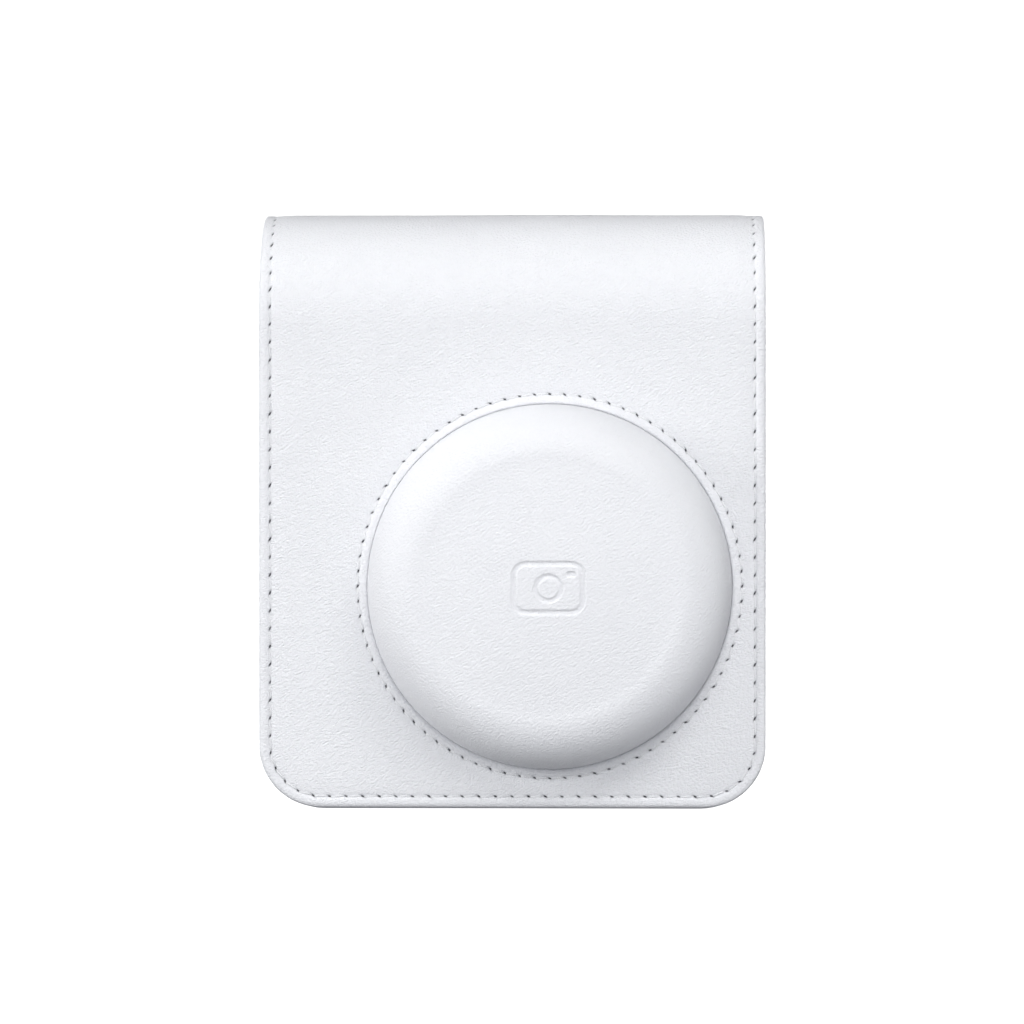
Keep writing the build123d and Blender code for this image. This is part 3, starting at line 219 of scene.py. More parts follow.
def feed(tree, socket, value):
    """Links an output to a socket, or sets a number or a colour on it."""
    if isinstance(value, bpy.types.NodeSocket):
        tree.links.new(value, socket)
    else:
        socket.default_value = (*value, 1.0) if socket.type == "RGBA" else value


def add_node(tree, kind, **inputs):
    """A shader node; an input's spaces are written as underscores."""
    node = tree.nodes.new("ShaderNode" + kind)
    for label, value in inputs.items():
        feed(tree, node.inputs[label.replace("_", " ")], value)
    return node


def object_coords(tree, scale=(1.0, 1.0, 1.0), turn=0.0):
    """Object coordinates, turned about the depth axis and then stretched."""
    coords = add_node(tree, "TexCoord").outputs["Object"]
    stretch = tuple(1.0 / factor for factor in scale)
    mapping = add_node(tree, "Mapping", Vector=coords, Scale=stretch, Rotation=(0.0, turn, 0.0))
    mapping.vector_type = "TEXTURE"
    return mapping.outputs["Vector"]


def noise(tree, coords, scale, detail=2.0, rough=0.5, distortion=0.0):
    """A noise texture's grey output."""
    settings = {"Scale": scale, "Detail": detail, "Roughness": rough, "Distortion": distortion}
    return add_node(tree, "TexNoise", Vector=coords, **settings).outputs["Fac"]


def cell_edges(tree, coords, scale):
    """How far a place is from the edge of its Voronoi cell."""
    node = add_node(tree, "TexVoronoi", Vector=coords, Scale=scale)
    node.feature = "DISTANCE_TO_EDGE"
    return node.outputs["Distance"]


def ramp(tree, value, low, high, to_low=0.0, to_high=1.0):
    """Maps a value smoothly from one range to another, held at the ends."""
    limits = {"From_Min": low, "From_Max": high, "To_Min": to_low, "To_Max": to_high}
    node = add_node(tree, "MapRange", Value=value, **limits)
    node.interpolation_type = "SMOOTHSTEP"
    return node.outputs["Result"]


def combine(tree, operation, a, b):
    """A math node on two sockets or numbers."""
    node = add_node(tree, "Math")
    node.operation = operation
    feed(tree, node.inputs[0], a)
    feed(tree, node.inputs[1], b)
    return node.outputs[0]


def tint(tree, shader, factor, colour_a, colour_b):
    """Base colour that runs between two colours or sockets; returns its socket."""
    node = add_node(tree, "Mix")
    node.data_type = "RGBA"
    for label, value in (("A", colour_a), ("B", colour_b), ("Factor", factor)):
        feed(tree, node.inputs[label], value)
    tree.links.new(node.outputs["Result"], shader.inputs["Base Color"])
    return node.outputs["Result"]


def bump(tree, shader, height, distance, strength):
    """Bump from a height socket."""
    node = add_node(tree, "Bump", Strength=strength, Distance=distance, Height=height)
    tree.links.new(node.outputs["Normal"], shader.inputs["Normal"])


def vary_roughness(tree, shader, value, low, high, smooth, dull):
    """Roughness that runs from smooth to dull as a value goes from low to high."""
    tree.links.new(ramp(tree, value, low, high, smooth, dull), shader.inputs["Roughness"])


def shaded(colour, share):
    """A colour made darker."""
    return tuple(share * c for c in colour)


LEATHER_COLOUR = (0.86, 0.865, 0.885)
LEATHER_SHADE = (0.845, 0.85, 0.872)
# painted shade: the near-black colour that the needle holes are darkened towards
HOLE_SHADE_COLOUR = (0.04, 0.04, 0.05)
FOLD_TURN = radians(-30.0)  # the wrinkles' slant
FOLD_STRETCH = (0.6, 1.0, 1.0)
FOLD_HEIGHT, GRAIN_HEIGHT = 3.0, 0.00016
PEBBLE_SCALE, PEBBLE_EDGE, PEBBLE_HEIGHT = 2100.0, 0.16, 0.35


def leather(name, grain=1.0, fold=2500.0, shade_holes=False):
    """Fine-grained leatherette: short wrinkles across, a soft pebble under them, and painted shade darkening
    the needle holes.
    """
    mat, tree, shader = material(name, LEATHER_COLOUR, 0.42, specular_ior_level=0.3)
    across = object_coords(tree, FOLD_STRETCH, FOLD_TURN)
    even = object_coords(tree)
    folds = noise(tree, across, fold, 0.0, 0.5, 0.3)
    pebble = ramp(tree, cell_edges(tree, even, PEBBLE_SCALE), 0.0, PEBBLE_EDGE, 0.0, PEBBLE_HEIGHT)
    height = combine(tree, "ADD", combine(tree, "MULTIPLY", folds, FOLD_HEIGHT), pebble)
    bump(tree, shader, height, GRAIN_HEIGHT * grain, 0.75)
    cloud = noise(tree, even, 60.0, 4.0, 0.55)
    colour = tint(tree, shader, ramp(tree, cloud, 0.25, 0.75), LEATHER_COLOUR, LEATHER_SHADE)
    vary_roughness(tree, shader, folds, 0.3, 0.7, 0.46, 0.58)
    # painted shade: the mesh's hole attribute darkens the leather in the needle holes
    if shade_holes:
        hole_shade = add_node(tree, "Attribute")
        hole_shade.attribute_name = "hole"
        tint(tree, shader, hole_shade.outputs["Fac"], colour, HOLE_SHADE_COLOUR)
    return mat


def suede(name, colour, shade):
    """Brushed microfibre lining."""
    cloth = {"sheen_weight": 0.35, "sheen_roughness": 0.5, "specular_ior_level": 0.2}
    mat, tree, shader = material(name, colour, 0.95, **cloth)
    coords = object_coords(tree)
    nap = noise(tree, coords, 3800.0, 3.0, 0.7)
    brushed = noise(tree, coords, 70.0, 3.0, 0.6, 0.8)
    tint(tree, shader, ramp(tree, combine(tree, "ADD", nap, brushed), 0.5, 1.5), shade, colour)
    bump(tree, shader, nap, 0.0002, 0.5)
    return mat


def thread_material(name, colour):
    """Waxed thread with a fine twist."""
    mat, tree, shader = material(name, colour, 0.55, sheen_weight=0.2)
    coords = object_coords(tree)
    wave = add_node(tree, "TexWave", Vector=coords, Scale=1500.0, Distortion=1.0)
    wave.bands_direction = "DIAGONAL"
    bump(tree, shader, wave.outputs["Fac"], 0.00008, 0.6)
    fibre = noise(tree, coords, 5200.0, 2.0)
    tint(tree, shader, fibre, shaded(colour, 0.86), colour)
    return mat


def moulded(name, colour, roughness, texture=0.0, scale=2400.0, **inputs):
    """Moulded plastic: faint flow clouding, roughness that varies, and an optional spark texture."""
    mat, tree, shader = material(name, colour, roughness, **inputs)
    coords = object_coords(tree)
    cloud = noise(tree, coords, 35.0, 3.0)
    tint(tree, shader, ramp(tree, cloud, 0.3, 0.7), shaded(colour, 0.96), colour)
    smear = noise(tree, coords, 90.0, 3.0, 0.6, 0.5)
    vary_roughness(tree, shader, smear, 0.3, 0.7, roughness * 0.88, roughness * 1.12)
    grain = noise(tree, coords, scale, 2.0, 0.6)
    bump(tree, shader, grain, 0.00006, 0.15 + texture)
    return mat


def metal(name, colour, roughness, brushed=(1.0, 1.0, 1.0), scale=900.0, strength=0.2):
    """Metal with fine brushing along the axis that the stretch leaves long."""
    mat, tree, shader = material(name, colour, roughness, 1.0)
    coords = object_coords(tree, brushed)
    lines = noise(tree, coords, scale, 4.0, 0.6)
    vary_roughness(tree, shader, lines, 0.2, 0.8, roughness * 0.75, roughness * 1.35)
    bump(tree, shader, lines, 0.00003, strength)
    tint(tree, shader, lines, shaded(colour, 0.9), colour)
    return mat


def clear(name, colour, alpha, roughness=0.05):
    """Window plastic or coated glass."""
    mat, tree, shader = material(name, colour, roughness, alpha=alpha, ior=1.5, specular_ior_level=0.6)
    haze = noise(tree, object_coords(tree), 120.0)
    vary_roughness(tree, shader, haze, 0.3, 0.7, roughness * 0.8, roughness * 1.6)
    return mat


# ---- mesh helpers


def smoothstep(low, high, value):
    """Runs smoothly from 0 at the low value to 1 at the high one."""
    t = np.clip((np.asarray(value, float) - low) / (high - low), 0.0, 1.0)
    return t * t * (3.0 - 2.0 * t)


def undulation(x, s):
    """Slow, gentle unevenness of a soft panel, the same on every run."""
    waves = np.sin(x / 17.0 + 1.3) * np.sin(s / 23.0 + 0.4) + 0.6 * np.sin(x / 9.1 + s / 13.7)
    waves = waves + 0.45 * np.sin(x / 6.3 - s / 7.9 + 2.0) * np.sin(s / 31.0)
    return 0.05 * waves


PUFF_FADE = (26.0, 58.0)  # the travel over which the top's padding runs out


def top_puff(inset, s):
    """How much the thin padding lifts the strip over the top and its bends, less towards the edges."""
    return (1.0 - smoothstep(*PUFF_FADE, s)) * (0.1 + 0.16 * smoothstep(2.6, 7.0, inset))


class Strip:
    """Half of the case's strip, measured along its face from the middle of the top down to its foot."""

    def __init__(self, face_y, bend, foot):
        self.way = 1.0 if face_y > MID_Y else -1.0
        self.flat = abs(face_y - MID_Y) - bend
        self.bend = bend
        self.turn_end = self.flat + bend * pi / 2
        self.length = self.turn_end + TOP_Z - bend - foot

    def along(self, z):
        """Where a height on the straight part lies along the face."""
        return self.turn_end + TOP_Z - self.bend - z

    def place(self, points):
        """Points (width x, travel s, height h over the face) as points in space."""
        x, s, h = points.T
        turn = np.clip((s - self.flat) / self.bend, 0.0, pi / 2)
        y = MID_Y + self.way * (np.minimum(s, self.flat) + self.bend * np.sin(turn))
        z = TOP_Z - self.bend * (1.0 - np.cos(turn)) - np.maximum(s - self.turn_end, 0.0)
        y = y + h * self.way * np.sin(turn)
        z = z + h * np.cos(turn)
        return np.stack([x, y, z], axis=-1)


STITCH_PITCHES = (3.9, 3.55, 3.67, 3.55, 3.9)  # down a side, round a corner, along the foot and back up


class Edge:
    """The strip half's outline: down one side, round both bottom corners and up the other side."""

    def __init__(self, strip):
        self.strip = strip
        side, corner = strip.length - CORNER_R, (CORNER_R - SEAM) * pi / 2
        parts = [side, corner, 2 * (HALF_W - CORNER_R), corner, side]
        self.ends = np.cumsum([0.0] + parts)
        holes = []
        for start, part, pitch in zip(self.ends, parts, STITCH_PITCHES):
            count = round(part / pitch)
            holes.extend(start + (np.arange(count) + 0.5) * part / count)
        self.holes = np.array(holes)

    def at(self, travel, inset):
        """Points (x, s) at a travel along the stitch line, moved to an inset from the edge."""
        travel = np.asarray(travel, float)
        inset = np.broadcast_to(np.asarray(inset, float), travel.shape)
        length, middle = self.strip.length, HALF_W - CORNER_R
        straight = length - CORNER_R
        part = np.clip(np.searchsorted(self.ends, travel, side="right") - 1, 0, 4)
        t = travel - self.ends[part]
        side = np.where(part < 2, -1.0, 1.0)
        turn = t / (CORNER_R - SEAM)
        turn = np.where(part == 3, pi / 2 - turn, turn)
        reach = CORNER_R - inset
        corner_x, corner_s = side * (middle + reach * np.cos(turn)), straight + reach * np.sin(turn)
        x = np.select([part % 4 == 0, part == 2], [side * (HALF_W - inset), t - middle], corner_x)
        s = np.select([part == 0, part == 2, part == 4], [t, length - inset, straight - t], corner_s)
        return x, s

    def depth_from(self, x, s):
        """How far inside the outline a point is."""
        length, middle = self.strip.length, HALF_W - CORNER_R
        dx = np.abs(x) - middle
        ds = s - (length - CORNER_R)
        corner = (dx > 0) & (ds > 0)
        inside = np.minimum(HALF_W - np.abs(x), length - s)
        return np.where(corner, CORNER_R - np.hypot(np.maximum(dx, 0), np.maximum(ds, 0)), inside)


HOLE_STEPS = np.array([0.0, 0.11, 0.22, 0.36, 0.6, 1.1])  # from a hole's middle


def stations(holes, start, end, closed=False):
    """Places along a stitch line, close together at each needle hole."""
    marks = [hole + step for hole in holes for step in (*HOLE_STEPS, *-HOLE_STEPS[1:])]
    if closed:
        return np.unique(np.round(np.mod(marks, end), 4))
    marks = [m for m in marks if start + 0.05 < m < end - 0.05]
    return np.unique(np.round([start, *marks, end], 4))


SLANT = radians(-22.0)
PIT_LONG, PIT_WIDE, PIT_DEEP = 0.56, 0.16, 0.5


def nearest_hole(travel, holes, period=None):
    """The signed distance along the stitch line to the nearest needle hole, and that hole's number."""
    gap = np.asarray(travel)[:, None] - holes[None, :]
    if period:
        gap = (gap + period / 2) % period - period / 2
    nearest = np.abs(gap).argmin(axis=1)
    return gap[np.arange(len(gap)), nearest], nearest


def pit(hole, across):
    """How much of a needle hole there is at a place: 1 in the middle of the most open ones."""
    along, number = hole
    slant = SLANT * (1.0 + 0.35 * np.sin(number * 2.7))
    open_wide = 0.88 + 0.12 * np.sin(number * 1.9 + 0.6)
    u = along * np.cos(slant) + across * np.sin(slant)
    v = -along * np.sin(slant) + across * np.cos(slant)
    return open_wide * np.exp(-((u / (PIT_LONG * open_wide)) ** 2) - (v / PIT_WIDE) ** 2)


SAME_PLACE, NO_AREA = 1e-6, 1e-9


class Skin:
    """A mesh under construction, in a sheet's own (x, s, h) coordinates."""

    def __init__(self):
        self.points, self.marks, self.faces = [], [], []

    def loop(self, x, s, h, hole_shade=None):
        """Adds a row of points and returns their numbers."""
        first = sum(len(p) for p in self.points)
        h = np.broadcast_to(np.asarray(h, float), x.shape)
        self.points.append(np.stack([x, s, h], axis=-1))
        # each point's painted shade at the needle holes, none by default
        self.marks.append(np.zeros(len(x)) if hole_shade is None else hole_shade)
        return np.arange(first, first + len(x))

    def band(self, a, b, closed=False):
        """Quads between two rows with as many points."""
        count = len(a)
        for i in range(count if closed else count - 1):
            j = (i + 1) % count
            self.faces.append((a[i], a[j], b[j], b[i]))

    def fill(self, rim, holes, height, step, keep, flip=False, top_line=True):
        """Fills between an outer row and hole rows with a triangle mesh over a regular lattice."""
        rows = [self.coords(rim)] + [self.coords(hole) for hole in holes]
        numbers = [list(rim)] + [list(hole) for hole in holes]
        if top_line:
            first, last = rows[0][0], rows[0][-1]
            count = int(abs(first[0] - last[0]) / step)
            x = np.linspace(last[0], first[0], count + 1)[1:-1]
            s = np.full_like(x, first[1])
            extra = self.loop(x, s, height(x, s))
            rows[0] = np.vstack([rows[0], self.coords(extra)])
            numbers[0] += list(extra)
        low, high = rows[0].min(axis=0), rows[0].max(axis=0)
        gx, gs = np.meshgrid(np.arange(low[0], high[0], step), np.arange(low[1], high[1], step))
        gx = gx + np.where(np.arange(gx.shape[0]) % 2, step / 2, 0.0)[:, None]
        gx, gs = gx.ravel(), gs.ravel()
        inside = keep(gx, gs) > step * 0.55
        gx, gs = gx[inside], gs[inside]
        lattice = self.loop(gx, gs, height(gx, gs))
        flat = np.vstack([*rows, self.coords(lattice)])
        number = np.concatenate([np.array(n) for n in numbers] + [lattice])
        edges, start = [], 0
        for row in rows:
            count = len(row)
            edges += [(start + i, start + (i + 1) % count) for i in range(count)]
            start += count
        result = delaunay_2d_cdt([Vector(p) for p in flat], edges, [], 0, SAME_PLACE, True)
        source = [ids[0] for ids in result[3]]
        corners = np.array([[source[v] for v in face] for face in result[2]])
        middle = flat[corners].mean(axis=1)
        corners = corners[keep(middle[:, 0], middle[:, 1]) > 0.0]
        p, q, r = flat[corners[:, 0]].T, flat[corners[:, 1]].T, flat[corners[:, 2]].T
        areas = (q[0] - p[0]) * (r[1] - p[1]) - (q[1] - p[1]) * (r[0] - p[0])
        for face, area in zip(number[corners], areas):
            if abs(area) >= NO_AREA:
                self.faces.append(tuple(face if (area > 0) != flip else face[::-1]))

    def bands(self, rows, closed=False, flip=False):
        """Quads between each row and the next."""
        for a, b in zip(rows, rows[1:]):
            self.band(*((b, a) if flip else (a, b)), closed)

    def coords(self, numbers):
        """The (x, s) of some points."""
        return np.vstack(self.points)[numbers][:, :2]

    def finish(self, name, place, mat, marks=None):
        """The mesh as an object, its points put in space by a function."""
        return finish_mesh(name, place(np.vstack(self.points)), self.faces, mat, marks)


def grid_faces(count, rows, open_after=None, closed=True, first=0):
    """Quads between rows of as many points, the last joined to the first, but none after one row."""
    faces = []
    for r in range(rows):
        if r == open_after:
            continue
        here, beyond = first + r * count, first + (r + 1) % rows * count
        for k in range(count if closed else count - 1):
            j = (k + 1) % count
            faces.append((here + k, here + j, beyond + j, beyond + k))
    return faces


def close_rims(work):
    """Caps every open rim with flat triangles inside a sharp edge."""
    rims = [edge for edge in work.edges if edge.is_boundary]
    if not rims:
        return
    capped = bmesh.ops.holes_fill(work, edges=rims, sides=0)["faces"]
    for face in capped:
        for edge in face.edges:
            edge.smooth = False
    bmesh.ops.triangulate(work, faces=capped)


def finish_mesh(name, places, faces, mat, marks=None, close=True):
    """Makes an object in metres from millimetre points, closed and facing outwards."""
    mesh = bpy.data.meshes.new(name)
    mesh.from_pydata((np.asarray(places) * MM).tolist(), [], [tuple(int(i) for i in f) for f in faces])
    # the hole attribute carries the painted shade of the needle holes into the leather material
    if marks is not None:
        attribute = mesh.attributes.new("hole", "FLOAT", "POINT")
        attribute.data.foreach_set("value", np.asarray(marks, np.float32))
    work = bmesh.new()
    work.from_mesh(mesh)
    if close:
        close_rims(work)
    bmesh.ops.recalc_face_normals(work, faces=work.faces)
    for face in work.faces:
        face.smooth = True
    work.to_mesh(mesh)
    work.free()
    mesh.materials.append(mat)
    return link(name, mesh)


# ---- the strip's leather


FIELD_INSET = 3.5  # where the edge's rolled band ends and the open panel starts
# the edge's section from the panel over the seam, round the rolled edge and in under it: (inset, height)
EDGE_SECTION = [
    (3.5, -0.12), (3.2, -0.16), (2.98, -0.21), (2.82, -0.26), (2.7, -0.3), (2.6, -0.32), (2.5, -0.33),
    (2.4, -0.32), (2.28, -0.27), (2.16, -0.18), (2.02, -0.07), (1.8, 0.02), (1.5, 0.06), (1.15, 0.07),
    (0.8, 0.03), (0.5, -0.08), (0.27, -0.26), (0.1, -0.55), (0.0, -1.1), (0.0, -1.8), (0.14, -2.4),
    (0.5, -2.82), (1.0, -2.98), (1.5, -3.0), (1.75, -2.8),
]
SKIN_DEPTH = -2.7  # the leather piece's inner face, under the lining
WALL_H = -0.6  # under this height the section is the edge's or the hole's wall, which stays straight
FOLD_FADE = (0.0, 14.0)  # the travel over which the unevenness starts at the middle of the top
SKIN_STEP, UNDER_STEP = 1.7, 4.0
# the section round the cup's hole, from the panel over the seam and down the hole's wall: (radius, height)
RING_SECTION = [
    (43.9, -0.1), (43.5, -0.15), (43.2, -0.2), (42.95, -0.25), (42.78, -0.29), (42.64, -0.32),
    (42.52, -0.33), (42.4, -0.33), (42.28, -0.31), (42.14, -0.25), (41.98, -0.15), (41.75, -0.04),
    (41.45, 0.04), (41.1, 0.07), (40.78, 0.05), (40.52, -0.03), (40.37, -0.17), (40.29, -0.4),
    (40.27, -0.9), (40.27, SKIN_DEPTH),
]
RING_TURN = 2 * pi * RING_R / RING_COUNT


def seam_depth(s):
    """How much of the seam's groove shows: little over the top, where the padding fills it."""
    return 0.25 + 0.75 * smoothstep(*PUFF_FADE, s)


def edge_relief(inset, s):
    """The open panel's height near the edge."""
    return -0.12 * seam_depth(s) * np.exp(-np.maximum(inset - FIELD_INSET, 0.0) / 1.1)


def ring_relief(x, s, strip):
    """The front panel's height outside the cup's stitches, drawn in a little at each needle hole."""
    dx, ds = x - CUP_X, s - strip.along(CUP_Z)
    radius = np.hypot(dx, ds)
    outside = np.maximum(radius - RING_SECTION[0][0], 0.0)
    pucker = 0.035 * np.cos(np.arctan2(ds, dx) * RING_COUNT) * np.exp(-outside / 1.2)
    return -0.1 * np.exp(-outside / 1.3) - np.where(radius > RING_SECTION[0][0], pucker, 0.0)


CORNER_POINTS, OUTLINE_STEP = 7, 1.2


def rounded_rect(x, s, width, height, corner, grow):
    """A rounded rectangle's outline as a closed row, grown by a margin."""
    corner = corner + grow
    half_w, half_h = width / 2 + grow - corner, height / 2 + grow - corner
    points = []
    for quarter in range(4):
        cx = x + (half_w if quarter in (0, 3) else -half_w)
        cs = s + (half_h if quarter in (0, 1) else -half_h)
        for i in range(CORNER_POINTS):
            angle = quarter * pi / 2 + i * pi / 2 / (CORNER_POINTS - 1)
            points.append((cx + corner * cos(angle), cs + corner * sin(angle)))
    dense = []
    for a, b in zip(points, points[1:] + points[:1]):
        dx, ds = b[0] - a[0], b[1] - a[1]
        pieces = max(1, round(np.hypot(dx, ds) / OUTLINE_STEP))
        dense += [(a[0] + dx * i / pieces, a[1] + ds * i / pieces) for i in range(pieces)]
    return np.array(dense)


def rect_distance(x, s, cx, cs, width, height, corner):
    """Signed distance outside a rounded rectangle."""
    dx = np.abs(x - cx) - width / 2 + corner
    ds = np.abs(s - cs) - height / 2 + corner
    outside = np.hypot(np.maximum(dx, 0), np.maximum(ds, 0))
    return outside + np.minimum(np.maximum(dx, ds), 0) - corner


# the back panel's openings: (x, height, width, depth along the face, corner radius)
FINDER, COUNTER = (40.8, 107.0, 13.0, 13.0, 4.0), (-14.0, 30.0, 12.0, 9.0, 2.5)
OPENING_SECTION = [
    (2.2, 0.0), (1.5, 0.0), (0.9, 0.03), (0.5, -0.04), (0.2, -0.25), (0.0, -0.7), (0.0, SKIN_DEPTH),
]
# how strongly a needle hole's painted shade darkens the leather
HOLE_SHADE_STRENGTH = 1.55


def cup_circle(strip, radius, angle):
    """The x and s of points on a circle round the cup's axis."""
    return CUP_X + radius * np.cos(angle), strip.along(CUP_Z) + radius * np.sin(angle)


def back_openings(strip):
    """The back panel's openings in its own coordinates."""
    return [(x, strip.along(z), *size) for x, z, *size in (FINDER, COUNTER)]


def room_inside(edge, margin, hole_r, openings, grow):
    """A function that says how far inside the outline a place is, clear of its holes."""
    centre_s = edge.strip.along(CUP_Z)

    def keep(x, s):
        room = np.minimum(edge.depth_from(x, s) - margin, s)
        if hole_r:
            room = np.minimum(room, np.hypot(x - CUP_X, s - centre_s) - hole_r)
        for opening in openings:
            room = np.minimum(room, rect_distance(x, s, *opening) - grow)
        return room

    return keep


def flat_at(height):
    """A function that gives the same height everywhere."""
    return lambda x, s: np.full(x.shape, height)


def sewn_row(skin, x, s, height, hole):
    """A row of leather points, pressed in at its needle holes, with painted shade marked there."""
    return skin.loop(x, s, height - PIT_DEEP * hole, np.clip(hole * HOLE_SHADE_STRENGTH, 0, 1))


def edge_rows(skin, edge, with_cup):
    """The rolled edge's rows, from the panel over the seam and round to its underside."""
    marks = stations(edge.holes, 0.0, edge.ends[-1])
    to_hole = nearest_hole(marks, edge.holes)
    fade = smoothstep(*FOLD_FADE, marks) * smoothstep(*FOLD_FADE, edge.ends[-1] - marks)
    rows = []
    for inset, h in EDGE_SECTION:
        x, s = edge.at(marks, inset)
        groove = h * (seam_depth(s) if inset > 0.6 else 1.0)
        height = groove + (undulation(x, s) * fade + top_puff(inset, s)) * (h > -1.0)
        if with_cup:
            height = height + ring_relief(x, s, edge.strip) * (inset > 1.8)
        rows.append(sewn_row(skin, x, s, height, pit(to_hole, inset - SEAM)))
    return rows


def ring_rows(skin, edge):
    """The rows round the cup's hole, from the panel over the stitches and down the hole's wall."""
    ring_holes = np.arange(RING_COUNT) * RING_TURN
    whole = RING_COUNT * RING_TURN
    turn = stations(ring_holes, 0.0, whole, closed=True)
    to_ring = nearest_hole(turn, ring_holes, whole)
    angle = turn / RING_R
    rows = []
    for radius, h in RING_SECTION:
        x, s = cup_circle(edge.strip, radius, angle)
        soft = h > WALL_H
        height = h + edge_relief(edge.depth_from(x, s), s) * soft + undulation(x, s) * soft
        rows.append(sewn_row(skin, x, s, height, pit(to_ring, radius - RING_R)))
    return rows


def opening_rows(skin, opening):
    """The rows round an opening in the back, from the panel over its rolled rim and down its wall."""
    base = rounded_rect(*opening, 0.0)
    away = outward(base, *opening)
    rows = []
    for grow, h in OPENING_SECTION:
        x, s = (base + away * grow).T
        rows.append(skin.loop(x, s, h + undulation(x, s) * (h > WALL_H)))
    return rows


def strip_skin(name, edge, mat, openings=()):
    """The leather of one half of the strip: the back if it has openings, or else the front with its cup."""
    strip, skin = edge.strip, Skin()
    with_cup = not openings

    def field(x, s):
        """The panel's height away from the rolled edge."""
        inset = edge.depth_from(x, s)
        height = edge_relief(inset, s) + top_puff(inset, s) + undulation(x, s) * smoothstep(*FOLD_FADE, s)
        if with_cup:
            height = height + ring_relief(x, s, strip)
        return height

    rows = edge_rows(skin, edge, with_cup)
    skin.bands(rows)
    holes = [ring_rows(skin, edge)] if with_cup else []
    holes += [opening_rows(skin, opening) for opening in openings]
    for hole in holes:
        skin.bands(hole, closed=True, flip=True)
    out_r, in_r = (RING_SECTION[0][0], RING_SECTION[-1][0]) if with_cup else (None, None)
    over = room_inside(edge, FIELD_INSET, out_r, openings, OPENING_SECTION[0][0])
    under = room_inside(edge, EDGE_SECTION[-1][0], in_r, openings, 0.0)
    skin.fill(rows[0], [hole[0] for hole in holes], field, SKIN_STEP, over)
    skin.fill(rows[-1], [hole[-1] for hole in holes], flat_at(SKIN_DEPTH), UNDER_STEP, under, flip=True)
    # the rows' painted shade at the needle holes goes with the mesh
    return skin.finish(name, strip.place, mat, np.concatenate(skin.marks))


def outward(base, cx, cs, width, height, corner):
    """Unit directions away from a rounded rectangle's core."""
    core_x = np.clip(base[:, 0] - cx, -(width / 2 - corner), width / 2 - corner)
    core_s = np.clip(base[:, 1] - cs, -(height / 2 - corner), height / 2 - corner)
    away = np.stack([base[:, 0] - cx - core_x, base[:, 1] - cs - core_s], axis=-1)
    return away / np.maximum(np.linalg.norm(away, axis=1), 1e-9)[:, None]


LINING_SECTION = [(2.3, -2.74), (1.75, -2.76), (1.55, -2.84), (1.6, -2.98), (1.9, -3.06), (2.4, -3.08)]
LINING_BACK, LINING_FACE = LINING_SECTION[0][1], LINING_SECTION[-1][1]
LINING_GROW = 0.15
LINING_HOLE_R, LINING_SIDES = 37.3, 160
LINING_PITCH, LINING_BACK_STEP, LINING_FACE_STEP = 1.6, 5.0, 2.5


def strip_lining(name, edge, mat, hole_r=None, openings=()):
    """The lining glued to the inside of one half of the strip: a thin closed sheet."""
    skin = Skin()
    marks = np.unique(np.concatenate([np.arange(0.0, edge.ends[-1], LINING_PITCH), edge.ends]))
    rows = [skin.loop(*edge.at(marks, inset), h) for inset, h in LINING_SECTION]
    skin.bands(rows)
    outlines = [rounded_rect(*opening, LINING_GROW) for opening in openings]
    if hole_r:
        angle = np.linspace(0, 2 * pi, LINING_SIDES, endpoint=False)
        outlines.append(np.stack(cup_circle(edge.strip, hole_r, angle), axis=-1))
    tops, unders = [], []
    for outline in outlines:
        tops.append(skin.loop(*outline.T, LINING_BACK))
        unders.append(skin.loop(*outline.T, LINING_FACE))
        skin.band(unders[-1], tops[-1], closed=True)

    def face_height(x, s):
        """The lining's own soft unevenness, none at its edges and at the middle of the top."""
        soft = smoothstep(*FOLD_FADE, s) * smoothstep(2.4, 9.0, edge.depth_from(x, s))
        return LINING_FACE + 0.4 * undulation(x, s) * soft

    back, face = (room_inside(edge, LINING_SECTION[i][0], hole_r, openings, LINING_GROW) for i in (0, -1))
    skin.fill(rows[0], tops, flat_at(LINING_BACK), LINING_BACK_STEP, back)
    skin.fill(rows[-1], unders, face_height, LINING_FACE_STEP, face, flip=True)
    return skin.finish(name, edge.strip.place, mat)


# ---- stitches

THREAD_R = 0.17
GROOVE = -0.33
# along the stitch from hole to hole: (share of the way, height over the groove, share of the full thickness)
THREAD_SHAPE = [
    (0.07, -0.42, 0.4), (0.11, -0.22, 0.85), (0.17, -0.08, 1.0), (0.3, 0.0, 1.05), (0.5, 0.03, 1.1),
    (0.7, 0.0, 1.05), (0.83, -0.08, 1.0), (0.89, -0.22, 0.85), (0.93, -0.42, 0.4),
]
THREAD_SIDES = 8
THREAD_SKEW = 0.13


def stitch_rows(start, end):
    """One stitch as (x, s, h) points: a short soft cord that dives into both its holes."""
    along = (end - start) / np.linalg.norm(end - start)
    side = np.array([-along[1], along[0]])
    rows = []
    for share, height, thick in THREAD_SHAPE:
        centre = start + (end - start) * share + side * THREAD_SKEW * (1 - 2 * share)
        for k in range(THREAD_SIDES):
            turn = 2 * pi * k / THREAD_SIDES
            offset = side * cos(turn) * THREAD_R * thick
            h = GROOVE + height + THREAD_R * thick * sin(turn)
            rows.append((centre[0] + offset[0], centre[1] + offset[1], h))
    return np.array(rows)


def sew(name, pairs, place, mat):
    """A run of stitches as one mesh; pairs holds each stitch's two ends as (x, s)."""
    places, faces = [], []
    rows, sides = len(THREAD_SHAPE), THREAD_SIDES
    for start, end in pairs:
        first = len(places) * rows * sides
        places.append(place(stitch_rows(np.asarray(start, float), np.asarray(end, float))))
        faces += grid_faces(sides, rows, rows - 1, first=first)
        faces.append(tuple(first + k for k in reversed(range(sides))))
        faces.append(tuple(first + (rows - 1) * sides + k for k in range(sides)))
    return finish_mesh(name, np.vstack(places), faces, mat, close=False)


